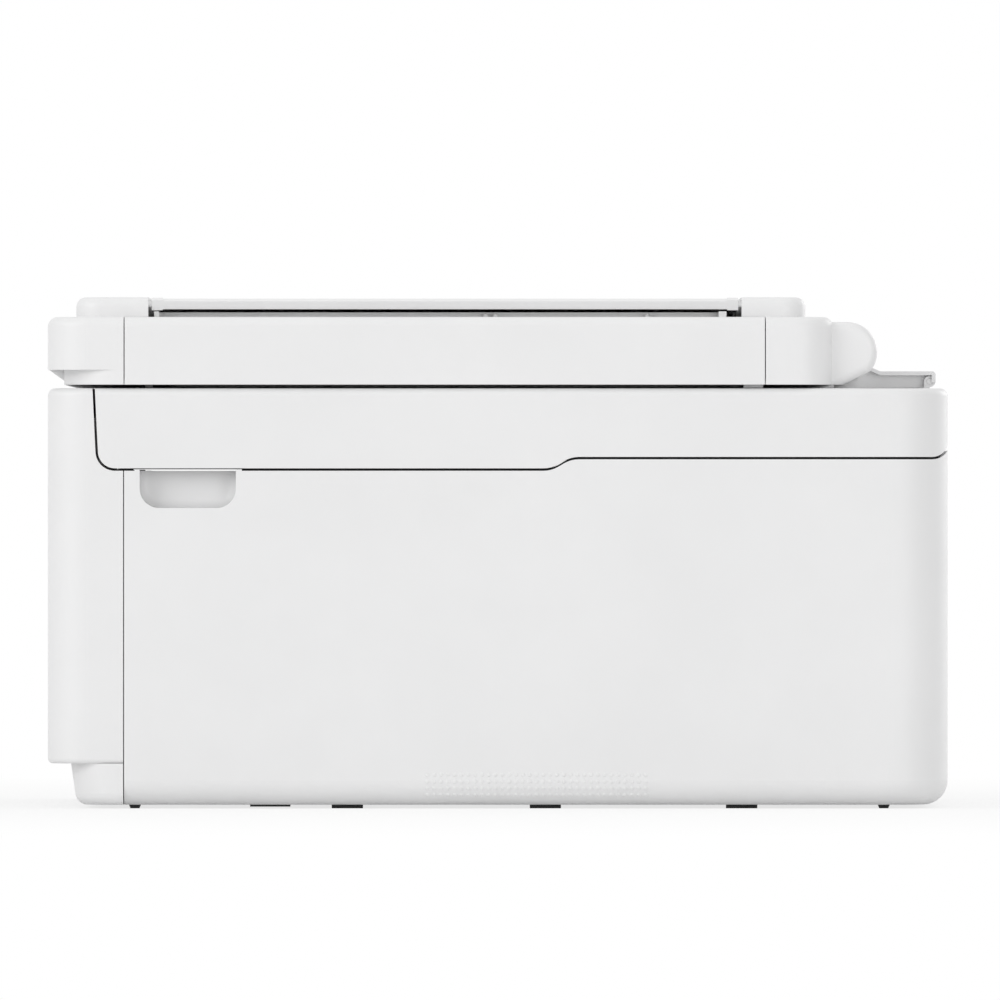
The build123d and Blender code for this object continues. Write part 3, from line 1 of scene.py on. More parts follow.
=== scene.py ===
import bpy
import bmesh
import json
import math
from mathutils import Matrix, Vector


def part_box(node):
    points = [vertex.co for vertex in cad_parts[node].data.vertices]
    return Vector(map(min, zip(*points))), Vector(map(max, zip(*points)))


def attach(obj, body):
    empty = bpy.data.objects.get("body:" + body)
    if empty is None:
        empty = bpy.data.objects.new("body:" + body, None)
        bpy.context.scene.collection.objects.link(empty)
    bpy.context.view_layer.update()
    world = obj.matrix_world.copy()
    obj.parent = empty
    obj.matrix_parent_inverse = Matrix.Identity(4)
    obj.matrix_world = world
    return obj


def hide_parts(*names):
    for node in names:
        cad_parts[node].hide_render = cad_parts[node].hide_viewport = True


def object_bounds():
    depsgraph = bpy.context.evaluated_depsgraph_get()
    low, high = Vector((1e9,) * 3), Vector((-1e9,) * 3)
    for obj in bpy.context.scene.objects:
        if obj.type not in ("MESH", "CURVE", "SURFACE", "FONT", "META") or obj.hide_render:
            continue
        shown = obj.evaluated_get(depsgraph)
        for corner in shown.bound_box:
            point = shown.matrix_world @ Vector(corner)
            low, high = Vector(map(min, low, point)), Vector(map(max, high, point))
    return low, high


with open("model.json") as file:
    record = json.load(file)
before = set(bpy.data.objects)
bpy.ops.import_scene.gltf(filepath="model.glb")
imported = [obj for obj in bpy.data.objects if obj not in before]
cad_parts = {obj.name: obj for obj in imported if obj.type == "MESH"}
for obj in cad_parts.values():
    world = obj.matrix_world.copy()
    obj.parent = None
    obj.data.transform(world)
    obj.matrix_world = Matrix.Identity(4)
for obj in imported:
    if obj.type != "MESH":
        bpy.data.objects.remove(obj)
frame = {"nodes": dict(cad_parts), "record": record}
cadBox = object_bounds()            # bounds of the CAD parts, used to place the camera and lamps
nodes = frame["nodes"]
slotOf = {part["node"]: part["material_slot"] for part in frame["record"]["subparts"]}
mm = 0.001
sink = 0.05                     # trim starts this far, in mm, under the face that carries it
print("frame loaded,", len(nodes), "nodes")


# small helpers for shader trees

def startMaterial(name):
    material = bpy.data.materials.new(name)
    material.use_nodes = True
    tree = material.node_tree
    return material, tree, tree.nodes["Principled BSDF"]


def addNode(tree, kind, sockets=None, **settings):
    node = tree.nodes.new(kind)
    for key, value in settings.items():
        setattr(node, key, value)
    for key, value in (sockets or {}).items():
        if isinstance(value, bpy.types.NodeSocket):
            tree.links.new(value, node.inputs[key])
        else:
            node.inputs[key].default_value = value
    return node


def objectPoint(tree, stretch=(1, 1, 1)):
    where = addNode(tree, "ShaderNodeTexCoord").outputs["Object"]       # same as frame coordinates
    if stretch == (1, 1, 1):
        return where
    return addNode(tree, "ShaderNodeMapping", {"Vector": where, "Scale": stretch}).outputs["Vector"]


def noise(tree, scale, detail=2.0, stretch=(1, 1, 1)):
    node = addNode(tree, "ShaderNodeTexNoise", {"Vector": objectPoint(tree, stretch),
                                                "Scale": scale, "Detail": detail})
    return node.outputs["Fac"]


def spread(tree, value, low, high, fromLow=0.3, fromHigh=0.7):
    node = addNode(tree, "ShaderNodeMapRange", {"Value": value, "To Min": low, "To Max": high,
                                                "From Min": fromLow, "From Max": fromHigh})
    return node.outputs["Result"]


def blendColours(tree, share, first, second):
    node = addNode(tree, "ShaderNodeMix", data_type="RGBA")
    for index, value in ((0, share), (6, first), (7, second)):
        if isinstance(value, bpy.types.NodeSocket):
            tree.links.new(value, node.inputs[index])
        else:
            node.inputs[index].default_value = value if index == 0 else (*value[:3], 1)
    return node.outputs[2]


def blendValues(tree, share, first, second):
    node = addNode(tree, "ShaderNodeMix", {0: share, 2: first, 3: second}, data_type="FLOAT")
    return node.outputs[0]


def shade(colour, factor):
    return tuple(min(1.0, level * factor) for level in colour[:3])


def bumpFrom(tree, height, strength, distance):
    node = addNode(tree, "ShaderNodeBump", {"Height": height, "Strength": strength, "Distance": distance})
    return node.outputs["Normal"]


def vectorMath(tree, operation, *values):
    return addNode(tree, "ShaderNodeVectorMath", dict(enumerate(values)), operation=operation)


def plainMath(tree, operation, *values):
    return addNode(tree, "ShaderNodeMath", dict(enumerate(values)), operation=operation).outputs[0]


def axisRadius(tree, centre, along):
    keep = [0.0 if axis == along else 1.0 for axis in "XYZ"]
    point = vectorMath(tree, "SUBTRACT", objectPoint(tree), centre).outputs[0]
    flat = vectorMath(tree, "MULTIPLY", point, keep).outputs[0]
    return vectorMath(tree, "LENGTH", flat).outputs["Value"]


def coordinate(tree, axis):
    return addNode(tree, "ShaderNodeSeparateXYZ", {"Vector": objectPoint(tree)}).outputs[axis]


def above(tree, value, limit):
    return plainMath(tree, "GREATER_THAN", value, limit)


# moulded plastics, all from one recipe

plastics = {
    "shell": {"colour": (0.805, 0.805, 0.807),
              "rough": (0.40, 0.50), "grain": 1900, "depth": 0.10},
    "lower_shell": {"colour": (0.760, 0.760, 0.765),
                    "rough": (0.45, 0.55), "grain": 1500, "depth": 0.14},
    "inner_plastic": {"colour": (0.022, 0.022, 0.024),
                      "rough": (0.42, 0.58), "grain": 1400, "depth": 0.18},
    "guide_plastic": {"colour": (0.20, 0.205, 0.215),
                      "rough": (0.40, 0.52), "grain": 1500, "depth": 0.14},
    "gear_plastic": {"colour": (0.74, 0.72, 0.66),
                     "rough": (0.32, 0.42), "grain": 900, "depth": 0.08},
    "key_plastic": {"colour": (0.06, 0.06, 0.064),
                    "rough": (0.24, 0.32), "grain": 1600, "depth": 0.05},
    "cartridge_plastic": {"colour": (0.018, 0.018, 0.020),
                          "rough": (0.33, 0.38), "grain": 2200, "depth": 0.03},
    "backing": {"colour": (0.86, 0.86, 0.85),
                "rough": (0.62, 0.74), "grain": 2600, "depth": 0.12},
}
mouldSet = {"cloud": 22, "tones": (0.985, 1.012), "speck": 0.35, "veil": (0.06, 0.93), "pit": 0.00006}


def mouldedPlastic(name, look):
    material, tree, shader = startMaterial(name)
    cloud = spread(tree, noise(tree, mouldSet["cloud"], 3), 0.0, 1.0)   # slow drift of tone
    speck = spread(tree, noise(tree, look["grain"] * mouldSet["speck"], 1), 0.0, 1.0)
    colour = blendColours(tree, cloud, *(shade(look["colour"], level) for level in mouldSet["tones"]))
    share, tone = mouldSet["veil"]
    colour = blendColours(tree, share, colour, shade(look["colour"], tone))
    tree.links.new(colour, shader.inputs["Base Color"])
    tree.links.new(spread(tree, speck, *look["rough"], 0, 1), shader.inputs["Roughness"])
    grain = noise(tree, look["grain"], 2)                               # spark-eroded mould texture
    tree.links.new(bumpFrom(tree, grain, look["depth"], mouldSet["pit"]), shader.inputs["Normal"])
    return material


finishes = {slot: mouldedPlastic(slot, look) for slot, look in plastics.items()}
print("plastics ready")


# metals, rubbers, glass and the odd ones

def cells(tree, scale):
    return addNode(tree, "ShaderNodeTexVoronoi", {"Vector": objectPoint(tree), "Scale": scale})


def channel(tree, colour, name):
    return addNode(tree, "ShaderNodeSeparateColor", {"Color": colour}).outputs[name]


sheetLook = {"colour": (0.50, 0.51, 0.52), "spangle": 95, "tones": (0.86, 1.10),
             "rough": (0.30, 0.46), "grain": 700, "relief": 0.08, "pit": 0.00005}


def zincSheet():
    material, tree, shader = startMaterial("sheet_steel")
    flake = cells(tree, sheetLook["spangle"])
    tone = channel(tree, flake.outputs["Color"], "Red")
    mixed = blendColours(tree, tone, *(shade(sheetLook["colour"], level) for level in sheetLook["tones"]))
    tree.links.new(mixed, shader.inputs["Base Color"])
    shader.inputs["Metallic"].default_value = 1.0
    tree.links.new(spread(tree, tone, *sheetLook["rough"], 0, 1), shader.inputs["Roughness"])
    grain = noise(tree, sheetLook["grain"], 2)
    tree.links.new(bumpFrom(tree, grain, sheetLook["relief"], sheetLook["pit"]), shader.inputs["Normal"])
    return material


shaftLook = {"colour": (0.62, 0.62, 0.63), "tones": (0.90, 1.05), "rough": (0.16, 0.30),
             "lines": (2600, 40, 40), "relief": 0.10, "pit": 0.00004}
gritLook = {"colour": (0.10, 0.10, 0.105), "light": 1.6, "grain": 3000, "rough": 0.8, "reach": 5.2 * mm}


def groundSteel(name, grit=None):
    material, tree, shader = startMaterial(name)
    lines = noise(tree, 1.0, 3, shaftLook["lines"])                     # turning marks round the bar
    steel = blendColours(tree, lines, *(shade(shaftLook["colour"], level) for level in shaftLook["tones"]))
    rough = spread(tree, lines, *shaftLook["rough"])
    shader.inputs["Metallic"].default_value = 1.0
    if grit:
        coated = above(tree, axisRadius(tree, grit["centre"], "X"), grit["reach"])
        grains = spread(tree, noise(tree, grit["grain"], 1), 0, 1)
        sand = blendColours(tree, grains, grit["colour"], shade(grit["colour"], grit["light"]))
        steel = blendColours(tree, coated, steel, sand)
        rough = blendValues(tree, coated, rough, grit["rough"])
        tree.links.new(plainMath(tree, "SUBTRACT", 1.0, coated), shader.inputs["Metallic"])
    tree.links.new(steel, shader.inputs["Base Color"])
    tree.links.new(rough, shader.inputs["Roughness"])
    marks = bumpFrom(tree, lines, shaftLook["relief"], shaftLook["pit"])
    tree.links.new(marks, shader.inputs["Normal"])
    return material


rubberLook = {"colour": (0.011, 0.011, 0.0115), "dust": 60, "dusty": 1.9,
              "rough": (0.70, 0.88), "grain": 1300, "relief": 0.25, "pit": 0.00008}
rollerLook = {**rubberLook, "colour": (0.10, 0.10, 0.105)}


def plainRubber(name, look=rubberLook):
    material, tree, shader = startMaterial(name)
    dust = spread(tree, noise(tree, look["dust"], 4), 0, 1)
    colour = blendColours(tree, dust, look["colour"], shade(look["colour"], look["dusty"]))
    tree.links.new(colour, shader.inputs["Base Color"])
    tree.links.new(spread(tree, dust, *look["rough"], 0, 1), shader.inputs["Roughness"])
    grain = noise(tree, look["grain"], 3)
    tree.links.new(bumpFrom(tree, grain, look["relief"], look["pit"]), shader.inputs["Normal"])
    return material


tyreLook = {"colour": (0.105, 0.105, 0.11), "worn": 1.35, "rough": (0.62, 0.80), "ribs": 900, "round": 30,
            "relief": 0.2, "pit": 0.00008, "bare": (0.55, 0.55, 0.56), "bareRough": 0.25, "margin": 1.04}


def tyredShaft(name, centre, along, shaftRadius):
    material, tree, shader = startMaterial(name)
    tyre = above(tree, axisRadius(tree, centre, along), shaftRadius * tyreLook["margin"])
    stretch = tuple(tyreLook["ribs" if axis == along else "round"] for axis in "XYZ")
    worn = spread(tree, noise(tree, 1.0, 2, stretch), 0, 1)
    soft = blendColours(tree, worn, tyreLook["colour"], shade(tyreLook["colour"], tyreLook["worn"]))
    tree.links.new(blendColours(tree, tyre, tyreLook["bare"], soft), shader.inputs["Base Color"])
    tree.links.new(plainMath(tree, "SUBTRACT", 1.0, tyre), shader.inputs["Metallic"])
    grip = spread(tree, worn, *tyreLook["rough"], 0, 1)
    tree.links.new(blendValues(tree, tyre, tyreLook["bareRough"], grip), shader.inputs["Roughness"])
    tree.links.new(bumpFrom(tree, worn, tyreLook["relief"], tyreLook["pit"]), shader.inputs["Normal"])
    return material


glassLook = {"colour": (0.93, 0.97, 0.96, 1), "ior": 1.5, "smear": 18, "rough": (0.0, 0.035)}


def bedGlass():
    material, tree, shader = startMaterial("bed_glass")
    shader.inputs["Base Color"].default_value = glassLook["colour"]
    shader.inputs["Transmission Weight"].default_value = 1.0
    shader.inputs["IOR"].default_value = glassLook["ior"]
    smear = spread(tree, noise(tree, glassLook["smear"], 4), *glassLook["rough"])     # never quite even
    tree.links.new(smear, shader.inputs["Roughness"])
    return material


screenLook = {"border": (0.006, 0.006, 0.007), "panel": (0.016, 0.018, 0.023), "inset": 4 * mm,
              "cloud": 40, "rough": (0.06, 0.12), "shine": 0.35}


def offScreen(low, high):
    material, tree, shader = startMaterial("display")
    inset = screenLook["inset"]
    inside = None
    for axis, a, b in (("X", low.x, high.x), ("Z", low.z, high.z)):
        place = coordinate(tree, axis)
        for gate in (above(tree, place, a + inset), above(tree, b - inset, place)):
            inside = gate if inside is None else plainMath(tree, "MULTIPLY", inside, gate)
    colour = blendColours(tree, inside, screenLook["border"], screenLook["panel"])
    tree.links.new(colour, shader.inputs["Base Color"])
    cloud = noise(tree, screenLook["cloud"], 3)
    tree.links.new(spread(tree, cloud, *screenLook["rough"]), shader.inputs["Roughness"])
    shader.inputs["Specular IOR Level"].default_value = screenLook["shine"]
    return material


boardLook = {"resist": (0.012, 0.085, 0.035), "copper": (0.03, 0.16, 0.07), "chip": (0.016, 0.016, 0.018),
             "sheet": 1.6 * mm, "margin": 0.2 * mm, "tracks": 180, "line": 0.012, "grain": 500,
             "rough": (0.32, 0.5), "relief": 0.3, "pit": 0.00004}


def circuitBoard(top):
    material, tree, shader = startMaterial("board")
    black, white = (0, 0, 0, 1), (1, 1, 1, 1)
    brick = addNode(tree, "ShaderNodeTexBrick", {"Vector": objectPoint(tree), "Scale": boardLook["tracks"],
                                                 "Mortar Size": boardLook["line"], "Color1": black,
                                                 "Color2": black, "Mortar": white})
    track = channel(tree, brick.outputs["Color"], "Red")
    green = blendColours(tree, track, boardLook["resist"], boardLook["copper"])
    chip = above(tree, coordinate(tree, "Z"), top + boardLook["margin"])
    tree.links.new(blendColours(tree, chip, green, boardLook["chip"]), shader.inputs["Base Color"])
    grain = noise(tree, boardLook["grain"], 2)
    tree.links.new(spread(tree, grain, *boardLook["rough"]), shader.inputs["Roughness"])
    raised = bumpFrom(tree, track, boardLook["relief"], boardLook["pit"])
    tree.links.new(raised, shader.inputs["Normal"])
    return material


blockLook = {"colour": (0.66, 0.63, 0.56), "tones": (0.62, 1.1), "pores": 420, "fill": (0.1, 0.6),
             "rough": 0.95, "relief": 0.8, "pit": 0.0003}


def porousBlock():
    material, tree, shader = startMaterial("absorber")
    fill = spread(tree, cells(tree, blockLook["pores"]).outputs["Distance"], 0, 1, *blockLook["fill"])
    colour = blendColours(tree, fill, *(shade(blockLook["colour"], level) for level in blockLook["tones"]))
    tree.links.new(colour, shader.inputs["Base Color"])
    shader.inputs["Roughness"].default_value = blockLook["rough"]
    tree.links.new(bumpFrom(tree, fill, blockLook["relief"], blockLook["pit"]), shader.inputs["Normal"])
    return material


def middleOf(node):
    low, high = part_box(node)
    return (low + high) / 2


finishes["sheet_steel"] = zincSheet()
finishes["shaft_steel"] = groundSteel("shaft_steel")
finishes["soft_rubber"] = plainRubber("soft_rubber")
finishes["bed_glass"] = bedGlass()
finishes["display"] = offScreen(*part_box("display_window"))
finishes["board"] = circuitBoard(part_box("logic_board")[0].z + boardLook["sheet"])
finishes["absorber"] = porousBlock()
finishes["roller_rubber"] = plainRubber("roller_rubber", rollerLook)

shaftRadii = {"exit": 2.5 * mm, "feeder": 3.0 * mm, "pickup": 2.0 * mm}
special = {
    "feed_roller": groundSteel("grit_roller", {**gritLook, "centre": middleOf("feed_roller")}),
    "exit_roller": tyredShaft("exit_tyres", middleOf("exit_roller"), "X", shaftRadii["exit"]),
    "feeder_roller": tyredShaft("feeder_tyres", middleOf("feeder_roller"), "Y", shaftRadii["feeder"]),
    "pickup_roller": tyredShaft("pickup_tyre", middleOf("pickup_roller"), "X", shaftRadii["pickup"]),
}

for name, node in nodes.items():
    node.data.materials.clear()
    node.data.materials.append(special.get(name) or finishes[slotOf[name]])
print("finishes on", len(nodes), "nodes")


# small helpers for meshes

def newPiece(name, mesh, body, slot, finish=None):
    bmesh.ops.recalc_face_normals(mesh, faces=mesh.faces)
    data = bpy.data.meshes.new(name)
    mesh.to_mesh(data)
    mesh.free()
    data.materials.append(finish or finishes[slot])
    piece = bpy.data.objects.new(name, data)
    bpy.context.scene.collection.objects.link(piece)
    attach(piece, body)
    return piece


def softBlock(mesh, low, high, edge, segments=2):
    corners = bmesh.ops.create_cube(mesh, size=1.0)["verts"]
    for corner in corners:
        corner.co = [(a + (share + 0.5) * (b - a)) * mm for a, b, share in zip(low, high, corner.co)]
    sides = list({side for corner in corners for side in corner.link_edges})
    bmesh.ops.bevel(mesh, geom=sides, offset=edge * mm, segments=segments, affect="EDGES", profile=0.5)


def stitchRings(mesh, rings):
    for first, second in zip(rings, rings[1:]):
        near, far = len(first), len(second)
        count = max(near, far)
        for i in range(count):
            j = (i + 1) % count
            corners = [first[i % near], first[j % near], second[j % far], second[i % far]]
            mesh.faces.new(list(dict.fromkeys(corners)))                # triangles at a single point


def turned(mesh, profile, centre, outward, steps=18):
    outward = Vector(outward).normalized()
    across = outward.orthogonal().normalized()
    other = outward.cross(across)
    rings = []
    for radius, reach in profile:
        spot = Vector(centre) + outward * reach
        angles = [2 * math.pi * i / steps for i in range(steps)] if radius else [0]
        points = [spot + (across * math.cos(a) + other * math.sin(a)) * radius for a in angles]
        rings.append([mesh.verts.new(point * mm) for point in points])
    stitchRings(mesh, rings)


def domed(look):
    return [(look["radius"] * wide, look["rise"] * tall) for wide, tall in look["dome"]]


def roundedPath(x0, x1, y0, y1, radius, steps=6):
    path = []
    for cx, cy, start in ((x1, y1, 0), (x0, y1, 90), (x0, y0, 180), (x1, y0, 270)):
        cx += radius if cx == x0 else -radius
        cy += radius if cy == y0 else -radius
        for i in range(steps + 1):
            a = math.radians(start + 90 * i / steps)
            path.append((cx + radius * math.cos(a), cy + radius * math.sin(a)))
    return path


def lofted(mesh, levels, place):
    rings = [[mesh.verts.new(place(a, b, height) * mm) for a, b in path] for path, height in levels]
    stitchRings(mesh, rings)
    mesh.faces.new(rings[0])
    mesh.faces.new(rings[-1])


def ringFrame(mesh, outer, inner, low, high, place, edge):
    width = math.dist(outer[0], inner[0])
    def between(share):
        return [(a + (c - a) * share, b + (d - b) * share) for (a, b), (c, d) in zip(outer, inner)]
    soft = edge / width
    levels = [(outer, low + edge), (outer, high - edge), (between(soft), high), (between(1 - soft), high),
              (inner, high - edge), (inner, low + edge), (between(1 - soft), low), (between(soft), low)]
    rings = [[mesh.verts.new(place(a, b, height) * mm) for a, b in path] for path, height in levels]
    stitchRings(mesh, rings + rings[:1])


def lying(a, b, height):
    return Vector((a, b, height))


def facingFront(a, b, height):
    return Vector((a, -height, b))


def facingBack(a, b, height):
    return Vector((-a, height, b))


# trim on the case: grip dots on the bottom roll, bumpers and exit nubs of the lid

dotSet = {"firstY": -29.0, "count": 33, "pitch": 2.8, "rows": (13.9, 11.1, 8.3, 5.5),
          "radius": 0.95, "rise": 0.28, "dome": ((0.8, 0.55), (0.45, 0.9), (0, 1)), "steps": 10}
rollSet = {"side": 202.5, "radius": 10.0, "floor": 1.5}


def gripDots(side, name):
    mesh = bmesh.new()
    rollTop = rollSet["floor"] + rollSet["radius"]
    rollAxis = rollSet["side"] - rollSet["radius"]
    dome = [(dotSet["radius"], -sink)] + domed(dotSet)
    for z in dotSet["rows"]:
        drop = min(0.0, z - rollTop)
        out = math.sqrt(rollSet["radius"] ** 2 - drop ** 2)
        x = rollAxis + out if drop else rollSet["side"]
        outward = (side * out, 0, drop)
        for i in range(dotSet["count"]):
            spot = (side * x, dotSet["firstY"] + i * dotSet["pitch"], z)
            turned(mesh, dome, spot, outward, dotSet["steps"])
    newPiece(name, mesh, "base", "shell")


gripDots(1, "grip_dots_right")
gripDots(-1, "grip_dots_left")

bumperSet = {"z": (172.68, 174.15), "edge": 0.35,
             "spots": (((168.0, 178.0), (-145.2, -142.0)), ((187.0, 196.5), (100.8, 109.0)))}
nubSet = {"x": 176.0, "z": 201.85, "y": (-5.1, -1.0, 61.5), "radius": 1.0, "rise": 1.5,
          "dome": ((1.2, 0), (1, 0.3), (0.85, 0.8), (0.5, 1), (0, 1.05))}


def lidBumpers():
    mesh = bmesh.new()
    for side in (-1, 1):
        for across, (y0, y1) in bumperSet["spots"]:
            x0, x1 = sorted(side * x for x in across)
            softBlock(mesh, (x0, y0, bumperSet["z"][0]), (x1, y1, bumperSet["z"][1]), bumperSet["edge"])
    newPiece("lid_bumpers", mesh, "lid", "lower_shell")


def exitNubs():
    mesh = bmesh.new()
    for y in nubSet["y"]:
        turned(mesh, domed(nubSet), (nubSet["x"], y, nubSet["z"]), (0, 0, 1))
    newPiece("exit_nubs", mesh, "lid", "shell")


# black strip on the base's top edge, under the scanner unit: painted shade that makes the parting gap look
# dark

gapShadeSet = {"x": 200.1, "low": 138.7, "high": 143.4, "step": 26.0, "run": 8.0, "round": 12.0,
           "runs": ((-156.0, -149.6), (-105.2, 161.0)), "spacing": 1.5, "least": 4,
           "rear": 161.0, "corner": 21.6, "turns": range(8, 72, 8),
           "section": ((0, -2.6), (0, 0.45), (0.4, 0.8), (1.8, 0.8), (2.2, 0.45), (2.2, -2.6))}


def partingHeight(y):
    low, high, r = gapShadeSet["low"], gapShadeSet["high"], gapShadeSet["round"]
    first, second = gapShadeSet["step"] - gapShadeSet["run"] / 2, gapShadeSet["step"] + gapShadeSet["run"] / 2
    slope = math.atan2(high - low, gapShadeSet["run"])
    reach = r * math.tan(slope / 2)                                     # tangent length of the two bends
    if y < first - reach:
        return low
    if y < first + reach * math.cos(slope):
        return low + r - math.sqrt(r ** 2 - (y - first + reach) ** 2)
    if y < second - reach * math.cos(slope):
        return low + (y - first) * math.tan(slope)
    if y < second + reach:
        return high - r + math.sqrt(r ** 2 - (second + reach - y) ** 2)
    return high


def gapShadeStations(start, stop):
    x, r = gapShadeSet["x"], gapShadeSet["corner"]
    count = gapShadeSet["least"] + int((stop - start) / gapShadeSet["spacing"])
    stations = [(x, start + (stop - start) * i / count, -1, 0) for i in range(count + 1)]
    if stop == gapShadeSet["rear"]:                                         # round the rear corner of the case
        for turn in gapShadeSet["turns"]:
            c, n = math.cos(math.radians(turn)), math.sin(math.radians(turn))
            stations.append((x - r + r * c, stop + r * n, -c, -n))
    return stations


def gapShadeStrip():
    mesh = bmesh.new()
    for side in (-1, 1):
        for start, stop in gapShadeSet["runs"]:
            rings = []
            for x, y, inX, inY in gapShadeStations(start, stop):
                z = partingHeight(y)
                points = [(side * (x + inX * t), y + inY * t, z + h) for t, h in gapShadeSet["section"]]
                rings.append([mesh.verts.new(Vector(point) * mm) for point in points])
            stitchRings(mesh, rings)
            mesh.faces.new(rings[0])
            mesh.faces.new(rings[-1])
    # black rubber strip as painted shade inside the parting gap
    newPiece("gap_shade_strip", mesh, "base", "soft_rubber")


lidBumpers()
exitNubs()
gapShadeStrip()
print("case trim done")


# foam sheet that presses papers on the glass

sheetSet = {"corner": 2.0, "least": 0.4, "steps": 5, "fill": 0.95,
            "top": ((0.4, 0), (0.1, 0.3), (0, 0.8)),                    # inset, distance from the face
            "under": ((0, 1.4), (0.15, 0.7), (0.6, 0.3), (1.5, 0.12), (12, 0.04), (45, 0), (90, 0))}


def backingSheet():
    low, high = (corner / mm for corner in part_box("backing_pad"))
    mesh = bmesh.new()
    def path(inset):
        radius = max(sheetSet["least"], sheetSet["corner"] - inset)
        return roundedPath(low.x + inset, high.x - inset, low.y + inset, high.y - inset,
                           radius, sheetSet["steps"])
    levels = [(path(inset), high.z - drop) for inset, drop in sheetSet["top"]]
    levels += [(path(inset), low.z + rise) for inset, rise in sheetSet["under"]]
    lofted(mesh, levels, lying)
    piece = newPiece("backing_sheet", mesh, "lid", "backing")
    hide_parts("backing_pad")


backingSheet()
print("backing sheet done")


# front: frame of the screen, signs on the keys, lamp beside the power key

screenSet = {"trim": 1.3, "lap": 0.3, "rise": 0.25, "corner": 1.6, "inner": 0.5, "edge": 0.1}
signSet = {"rise": 0.12, "size": 2.1, "line": 0.5, "gap": 32}
lampSpot = {"x": -91.0, "radius": 1.2, "rise": 0.35, "root": 0.1, "grain": 900, "rough": 0.18, "clear": 0.3,
            "dome": ((1, 0.4), (0.85, 0.75), (0.5, 0.95), (0, 1)),
            "colours": ((0.50, 0.66, 0.55), (0.60, 0.74, 0.64))}


def screenTrim():
    low, high = (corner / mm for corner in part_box("display_window"))
    t = screenSet["trim"]
    lap = t * screenSet["lap"]
    outer = roundedPath(low.x - lap, high.x + lap, low.z - lap, high.z + lap, screenSet["corner"])
    innerCorner = screenSet["corner"] - t * screenSet["inner"]
    inner = roundedPath(low.x + t, high.x - t, low.z + t, high.z - t, innerCorner)
    mesh = bmesh.new()
    ringFrame(mesh, outer, inner, -low.y - sink, -low.y + screenSet["rise"], facingFront, screenSet["edge"])
    newPiece("screen_trim", mesh, "control_panel", "key_plastic")


def inlay(mesh, path, centre, face):
    def place(a, b, height):
        return Vector((centre.x + a, face - height, centre.z + b))
    lofted(mesh, [(path, -sink), (path, signSet["rise"])], place)


def arcBand(radius, width, start, stop, steps=22):
    turns = [math.radians(start + (stop - start) * i / steps) for i in range(steps + 1)]
    outer = [((radius + width / 2) * math.sin(a), (radius + width / 2) * math.cos(a)) for a in turns]
    inner = [((radius - width / 2) * math.sin(a), (radius - width / 2) * math.cos(a)) for a in turns]
    return outer + inner[::-1]


def keySigns():
    s, w, gap = signSet["size"], signSet["line"], signSet["gap"]
    bar = [(-w / 2, s * 0.25), (w / 2, s * 0.25), (w / 2, s * 1.2), (-w / 2, s * 1.2)]
    signs = {
        "power_button": [arcBand(s, w, gap, 360 - gap), bar],
        "ok_button": [arcBand(s * 0.8, w, 0, 180), arcBand(s * 0.8, w, 180, 360)],
        "start_button": [[(-s * 0.6, -s), (s * 1.05, 0), (-s * 0.6, s)]],
        "stop_button": [roundedPath(-s * 0.8, s * 0.8, -s * 0.8, s * 0.8, 0.3, 3)],
    }
    for key, paths in signs.items():
        low, high = (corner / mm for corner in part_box(key))
        mesh = bmesh.new()
        for path in paths:
            inlay(mesh, path, (low + high) / 2, low.y)
        newPiece(key.replace("button", "sign"), mesh, key, "shell")


def statusLamp():
    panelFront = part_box("control_panel")[0].y / mm
    keyLow, keyHigh = (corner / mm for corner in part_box("power_button"))
    material, tree, shader = startMaterial("status_lens")
    cloud = spread(tree, noise(tree, lampSpot["grain"], 2), 0, 1)
    tree.links.new(blendColours(tree, cloud, *lampSpot["colours"]), shader.inputs["Base Color"])
    shader.inputs["Roughness"].default_value = lampSpot["rough"]
    shader.inputs["Transmission Weight"].default_value = lampSpot["clear"]
    mesh = bmesh.new()
    lens = [(lampSpot["radius"], -lampSpot["root"])] + domed(lampSpot)
    turned(mesh, lens, (lampSpot["x"], panelFront, (keyLow.z + keyHigh.z) / 2), (0, -1, 0))
    newPiece("status_lamp", mesh, "control_panel", "bed_glass", material)


screenTrim()
keySigns()
statusLamp()
print("front trim done")


# back and underside: screws with crossed slots, pins and linings of the sockets

screwSet = {"radius": 3.1, "rise": 1.3, "slot": 1.7, "line": 0.42, "deep": 0.9, "root": 0.1,
            "head": ((0.72, 0.97), (0.92, 0.75), (1, 0.4)), "well": 1.6, "sunk": 1.2,
            "back": ((-168, 22), (168, 22), (-168, 118), (168, 118), (0, 22)),
            "floor": ((-150, -130), (150, -130), (-150, 130), (150, 130), (-60, 150), (60, 150))}


def crossScrew(mesh, spot, outward):
    outward = Vector(outward)
    across = outward.orthogonal().normalized()
    other = outward.cross(across)
    a, b = screwSet["slot"], screwSet["line"]
    cross = []
    for turn in range(4):
        c, s = round(math.cos(turn * math.pi / 2)), round(math.sin(turn * math.pi / 2))
        cross += [(u * c - v * s, u * s + v * c) for u, v in ((a, -b), (a, b), (b, b))]
    def ring(points, reach):
        middle = Vector(spot) + outward * reach
        return [mesh.verts.new((middle + across * u + other * v) * mm) for u, v in points]
    def circle(radius):
        return [(radius * u / math.hypot(u, v), radius * v / math.hypot(u, v)) for u, v in cross]
    r, h = screwSet["radius"], screwSet["rise"]
    rings = [ring(cross, h - screwSet["deep"]), ring(cross, h)]
    rings += [ring(circle(r * wide), h * tall) for wide, tall in screwSet["head"]]
    rings.append(ring(circle(r), -screwSet["root"]))
    stitchRings(mesh, rings)
    mesh.faces.new(rings[0])


def caseScrews():
    mesh = bmesh.new()
    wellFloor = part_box("rear_panel")[1].y / mm - screwSet["well"]
    for x, z in screwSet["back"]:
        crossScrew(mesh, (x, wellFloor, z), (0, 1, 0))
    newPiece("back_screws", mesh, "base", "shaft_steel")
    mesh = bmesh.new()
    for x, y in screwSet["floor"]:
        crossScrew(mesh, (x, y, rollSet["floor"] + screwSet["sunk"]), (0, 0, -1))
    newPiece("floor_screws", mesh, "base", "shaft_steel")


